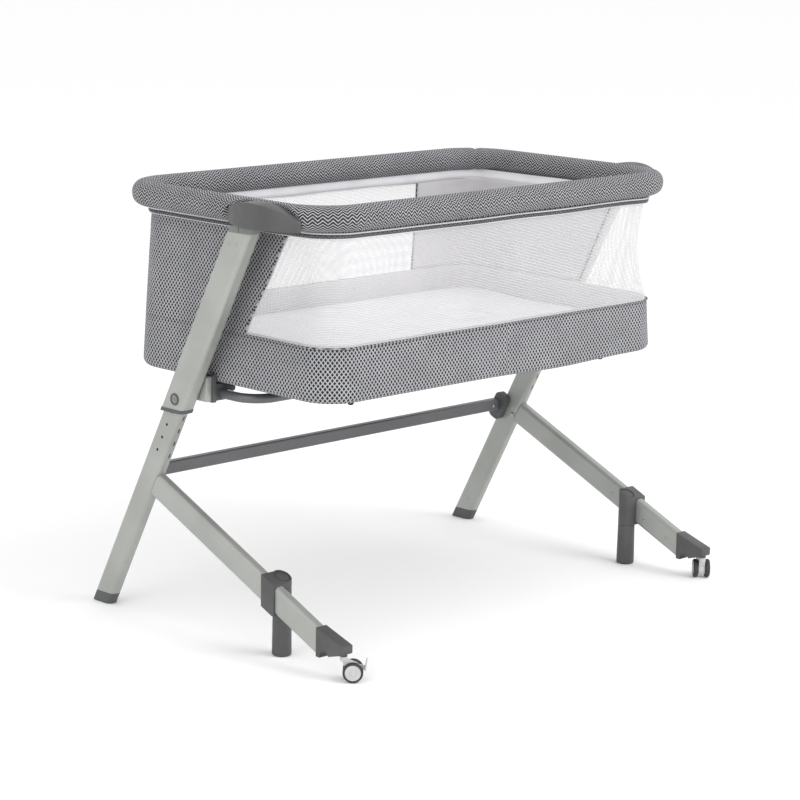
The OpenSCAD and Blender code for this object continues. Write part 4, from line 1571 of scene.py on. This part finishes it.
@dataclass
class SmallTrim:
    """Near-black rings of painted shade round discs, hub caps and near-black crosses of painted
    shade on screw heads: the small pieces that sit on the others' faces.
    """

    dresser: Dresser
    boss_radius: float = 0.0052
    boss_height: float = 0.0012
    boss_edge: float = 0.0004
    # thickness of the near-black bars of painted shade on the screw heads
    cross_shade_thickness: float = 0.0003

    def build(self) -> None:
        """Models every small piece."""
        for side, name in ((-1, "left"), (1, "right")):
            centre, normal, radius = self.face("post_top_discs", side, Vector((0, 0, 1)))
            # a near-black ring of painted shade in the gap round the edge of the post's top disc
            self.ring(f"post_gap_shade_{name}", centre, normal, radius + 0.0003, 0.0007, "stand")
            # a near-black ring of painted shade in the gap between the release button and its bezel
            centre, normal, radius = self.face(f"release_button_{name}", side, Vector((side, 0, 0)))
            sunk = centre - normal * 0.0002
            self.ring(f"button_gap_shade_{name}", sunk, normal, radius + 0.00015, 0.0002, "cradle")
            for turn in (-1, 1):
                aim = self.axle(name) * turn
                centre, normal, _ = self.face(f"caster_hubs_{name}", side, aim, outermost=True)
                wheel = "outer" if turn * side < 0 else "inner"
                self.hub_cap(f"hub_cap_{name}_{wheel}", centre, normal, f"wheels_{name}")
        self.crosses()

    @staticmethod
    def face(
        node: str, side: int, towards: Vector, outermost: bool = False
    ) -> tuple[Vector, Vector, float]:
        """Finds the broadest flat face of a CAD node on one side of the object.

        Args:
            node: The CAD node.
            side: -1 or 1, for the half at -X or +X.
            towards: The way that the face looks, roughly.
            outermost: Whether the furthest face that way is wanted, not the broadest.

        Returns:
            The face's middle, its normal and its radius.
        """
        mesh = frame["nodes"][node].data
        planes: dict[tuple[int, ...], list] = {}
        for polygon in mesh.polygons:
            if polygon.center.x * side > 0 and polygon.normal.dot(towards) > 0.8:
                level = polygon.normal.dot(polygon.center)
                key = (*(round(c * 50) for c in polygon.normal), round(level * 5000))
                planes.setdefault(key, []).append(polygon)
        rank = (lambda k: k[-1]) if outermost else (lambda k: sum(p.area for p in planes[k]))
        faces = planes[max(planes, key=rank)]
        corners_at = [mesh.vertices[i].co for p in faces for i in p.vertices]
        low = Vector([min(c[i] for c in corners_at) for i in range(3)])
        high = Vector([max(c[i] for c in corners_at) for i in range(3)])
        middle = (low + high) / 2
        return middle, faces[0].normal.copy(), max((c - middle).length for c in corners_at)

    @staticmethod
    def axle(name: str) -> Vector:
        """Returns the direction of a caster's axle, from the frame's joints."""
        joint = next(j for j in frame["joints"] if j["name"] == f"wheel_spin_{name}")
        return Vector(joint["axis"]).normalized()

    def ring(
        self, name: str, centre: Vector, normal: Vector, radius: float, thick: float, body: str
    ) -> None:
        """Lays a thin near-black ring round a disc: painted shade in the gap round its edge.

        Args:
            name: The ring's name.
            centre: The disc's middle.
            normal: The way that the disc looks.
            radius: The ring's radius.
            thick: The radius of its section.
            body: The CAD body that it rides on.
        """
        bpy.ops.object.select_all(action="DESELECT")
        bpy.ops.mesh.primitive_torus_add(
            location=centre,
            rotation=normal.to_track_quat("Z", "Y").to_euler(),
            major_radius=radius,
            minor_radius=thick,
            major_segments=64,
            minor_segments=10,
        )
        piece = bpy.context.view_layer.objects.active
        piece.name = name
        place_in_mesh(piece)
        smooth(piece, 180)
        self.dresser.own(piece, "dark_hole", body, "dark_plastic")

    def hub_cap(self, name: str, centre: Vector, normal: Vector, body: str) -> None:
        """Adds the four-cornered boss in the middle of a wheel.

        Args:
            name: The boss's name.
            centre: The middle of the hub's face.
            normal: The way that the face looks.
            body: The CAD body that it rides on.
        """
        bpy.ops.object.select_all(action="DESELECT")
        bpy.ops.mesh.primitive_cylinder_add(
            vertices=4,
            radius=self.boss_radius,
            depth=self.boss_height,
            location=centre + normal * self.boss_edge,
            rotation=normal.to_track_quat("Z", "Y").to_euler(),
        )
        piece = bpy.context.view_layer.objects.active
        piece.name = name
        bpy.ops.object.mode_set(mode="EDIT")
        bpy.ops.mesh.select_all(action="SELECT")
        bpy.ops.mesh.bevel(offset=self.boss_edge, segments=2)
        bpy.ops.object.mode_set(mode="OBJECT")
        place_in_mesh(piece)
        smooth(piece, 30)
        self.dresser.own(piece, "caster", body, "caster_plastic")

    def crosses(self) -> None:
        """Lays two crossed near-black bars on the head of each of the crossbar's screws: painted
        shade of their cross recesses.
        """
        for side, name in ((-1, "left"), (1, "right")):
            centre, _, radius = self.face(
                "frame_rivets", side, Vector((0, -1, 0)), outermost=True
            )
            bars = []
            for turn in (0, math.pi / 2):
                bpy.ops.object.select_all(action="DESELECT")
                bpy.ops.mesh.primitive_cube_add(
                    size=1, location=centre, rotation=(0, turn + 0.4, 0)
                )
                bar = bpy.context.view_layer.objects.active
                bar.scale = (radius * 1.5, self.cross_shade_thickness, radius * 0.36)
                place_in_mesh(bar)
                bars.append(bar)
            select_only(*bars)
            bpy.ops.object.join()
            bars[0].name = f"screw_cross_shade_{name}"
            self.dresser.own(bars[0], "dark_hole", "stand", "frame_plastic")


# ----------------------------------------------------------------------- studio


@dataclass
class Studio:
    """Floor, lights and camera."""

    place: Point = (-3.1562, -3.1300, 1.2701)
    heading: float = 44.905
    pitch: float = -11.760
    roll: float = 1.000
    lens: float = 116.43

    def build(self) -> None:
        """Sets the stage."""
        self.camera()
        self.floor()
        self.lights()

    def camera(self) -> None:
        """Adds the camera; its heading is from +Y towards +X, its pitch from level."""
        yaw, pitch, roll = (math.radians(a) for a in (self.heading, self.pitch, self.roll))
        level = math.cos(pitch)
        forward = Vector((math.sin(yaw) * level, math.cos(yaw) * level, math.sin(pitch)))
        right = forward.cross(Vector((0, 0, 1))).normalized()
        up = right.cross(forward)
        turned_right = right * math.cos(roll) + up * math.sin(roll)
        turned_up = up * math.cos(roll) - right * math.sin(roll)
        data = bpy.data.cameras.new("camera")
        data.lens, data.sensor_width = self.lens, 36
        data.clip_end = 50
        camera = bpy.data.objects.new("camera", data)
        turn = Matrix((turned_right, turned_up, -forward)).transposed().to_4x4()
        camera.matrix_world = Matrix.Translation(self.place) @ turn
        bpy.context.scene.collection.objects.link(camera)
        bpy.context.scene.camera = camera

    def floor(self) -> None:
        """Adds the pale floor."""
        bpy.ops.object.select_all(action="DESELECT")
        bpy.ops.mesh.primitive_plane_add(size=60, location=(0, 0, -0.0004))
        floor = bpy.context.view_layer.objects.active
        floor.name = "floor"
        floor.data.materials.append(BackdropPaper("studio_floor").material())

    def lights(self) -> None:
        """Adds a white surround and two large soft lamps."""
        world = bpy.data.worlds.new("studio")
        bpy.context.scene.world = world
        world.use_nodes = True
        background = world.node_tree.nodes["Background"]
        background.inputs["Color"].default_value = (1, 1, 1, 1)
        background.inputs["Strength"].default_value = 1.0
        self.lamp("key", (1.2, -3.4, 3.2), 2.6, 90)
        self.lamp("fill", (-3.6, -0.6, 2.0), 2.4, 25)
        bpy.context.scene.view_settings.view_transform = "Standard"

    @staticmethod
    def lamp(name: str, place: Point, size: float, power: float) -> None:
        """Adds a square area lamp that faces the cradle.

        Args:
            name: The lamp's name.
            place: Where it stands.
            size: Its side's length in metres.
            power: Its power in watts.
        """
        data = bpy.data.lights.new(name, "AREA")
        data.energy, data.size = power, size
        lamp = bpy.data.objects.new(name, data)
        lamp.location = place
        aim = Vector((0, 0, 0.45)) - Vector(place)
        lamp.rotation_euler = aim.to_track_quat("-Z", "Y").to_euler()
        bpy.context.scene.collection.objects.link(lamp)


def corners(box: tuple[Vector, Vector]) -> list[list[float]]:
    """Returns a box as plain lists of numbers."""
    return [[round(float(x), 5) for x in corner] for corner in box]


def main() -> None:
    """Builds the stage, then each sub-assembly in order."""
    logging.basicConfig(level=logging.INFO, format="%(name)s: %(message)s")
    Studio().build()
    dresser = Dresser(Palette())
    Stand(dresser).build()
    CradleFrame(dresser).build()
    SmallTrim(dresser).build()
    Rail(dresser).build()
    FabricBody(dresser).build()
    Mattress(dresser).build()


if __name__ == "__main__":
    main()
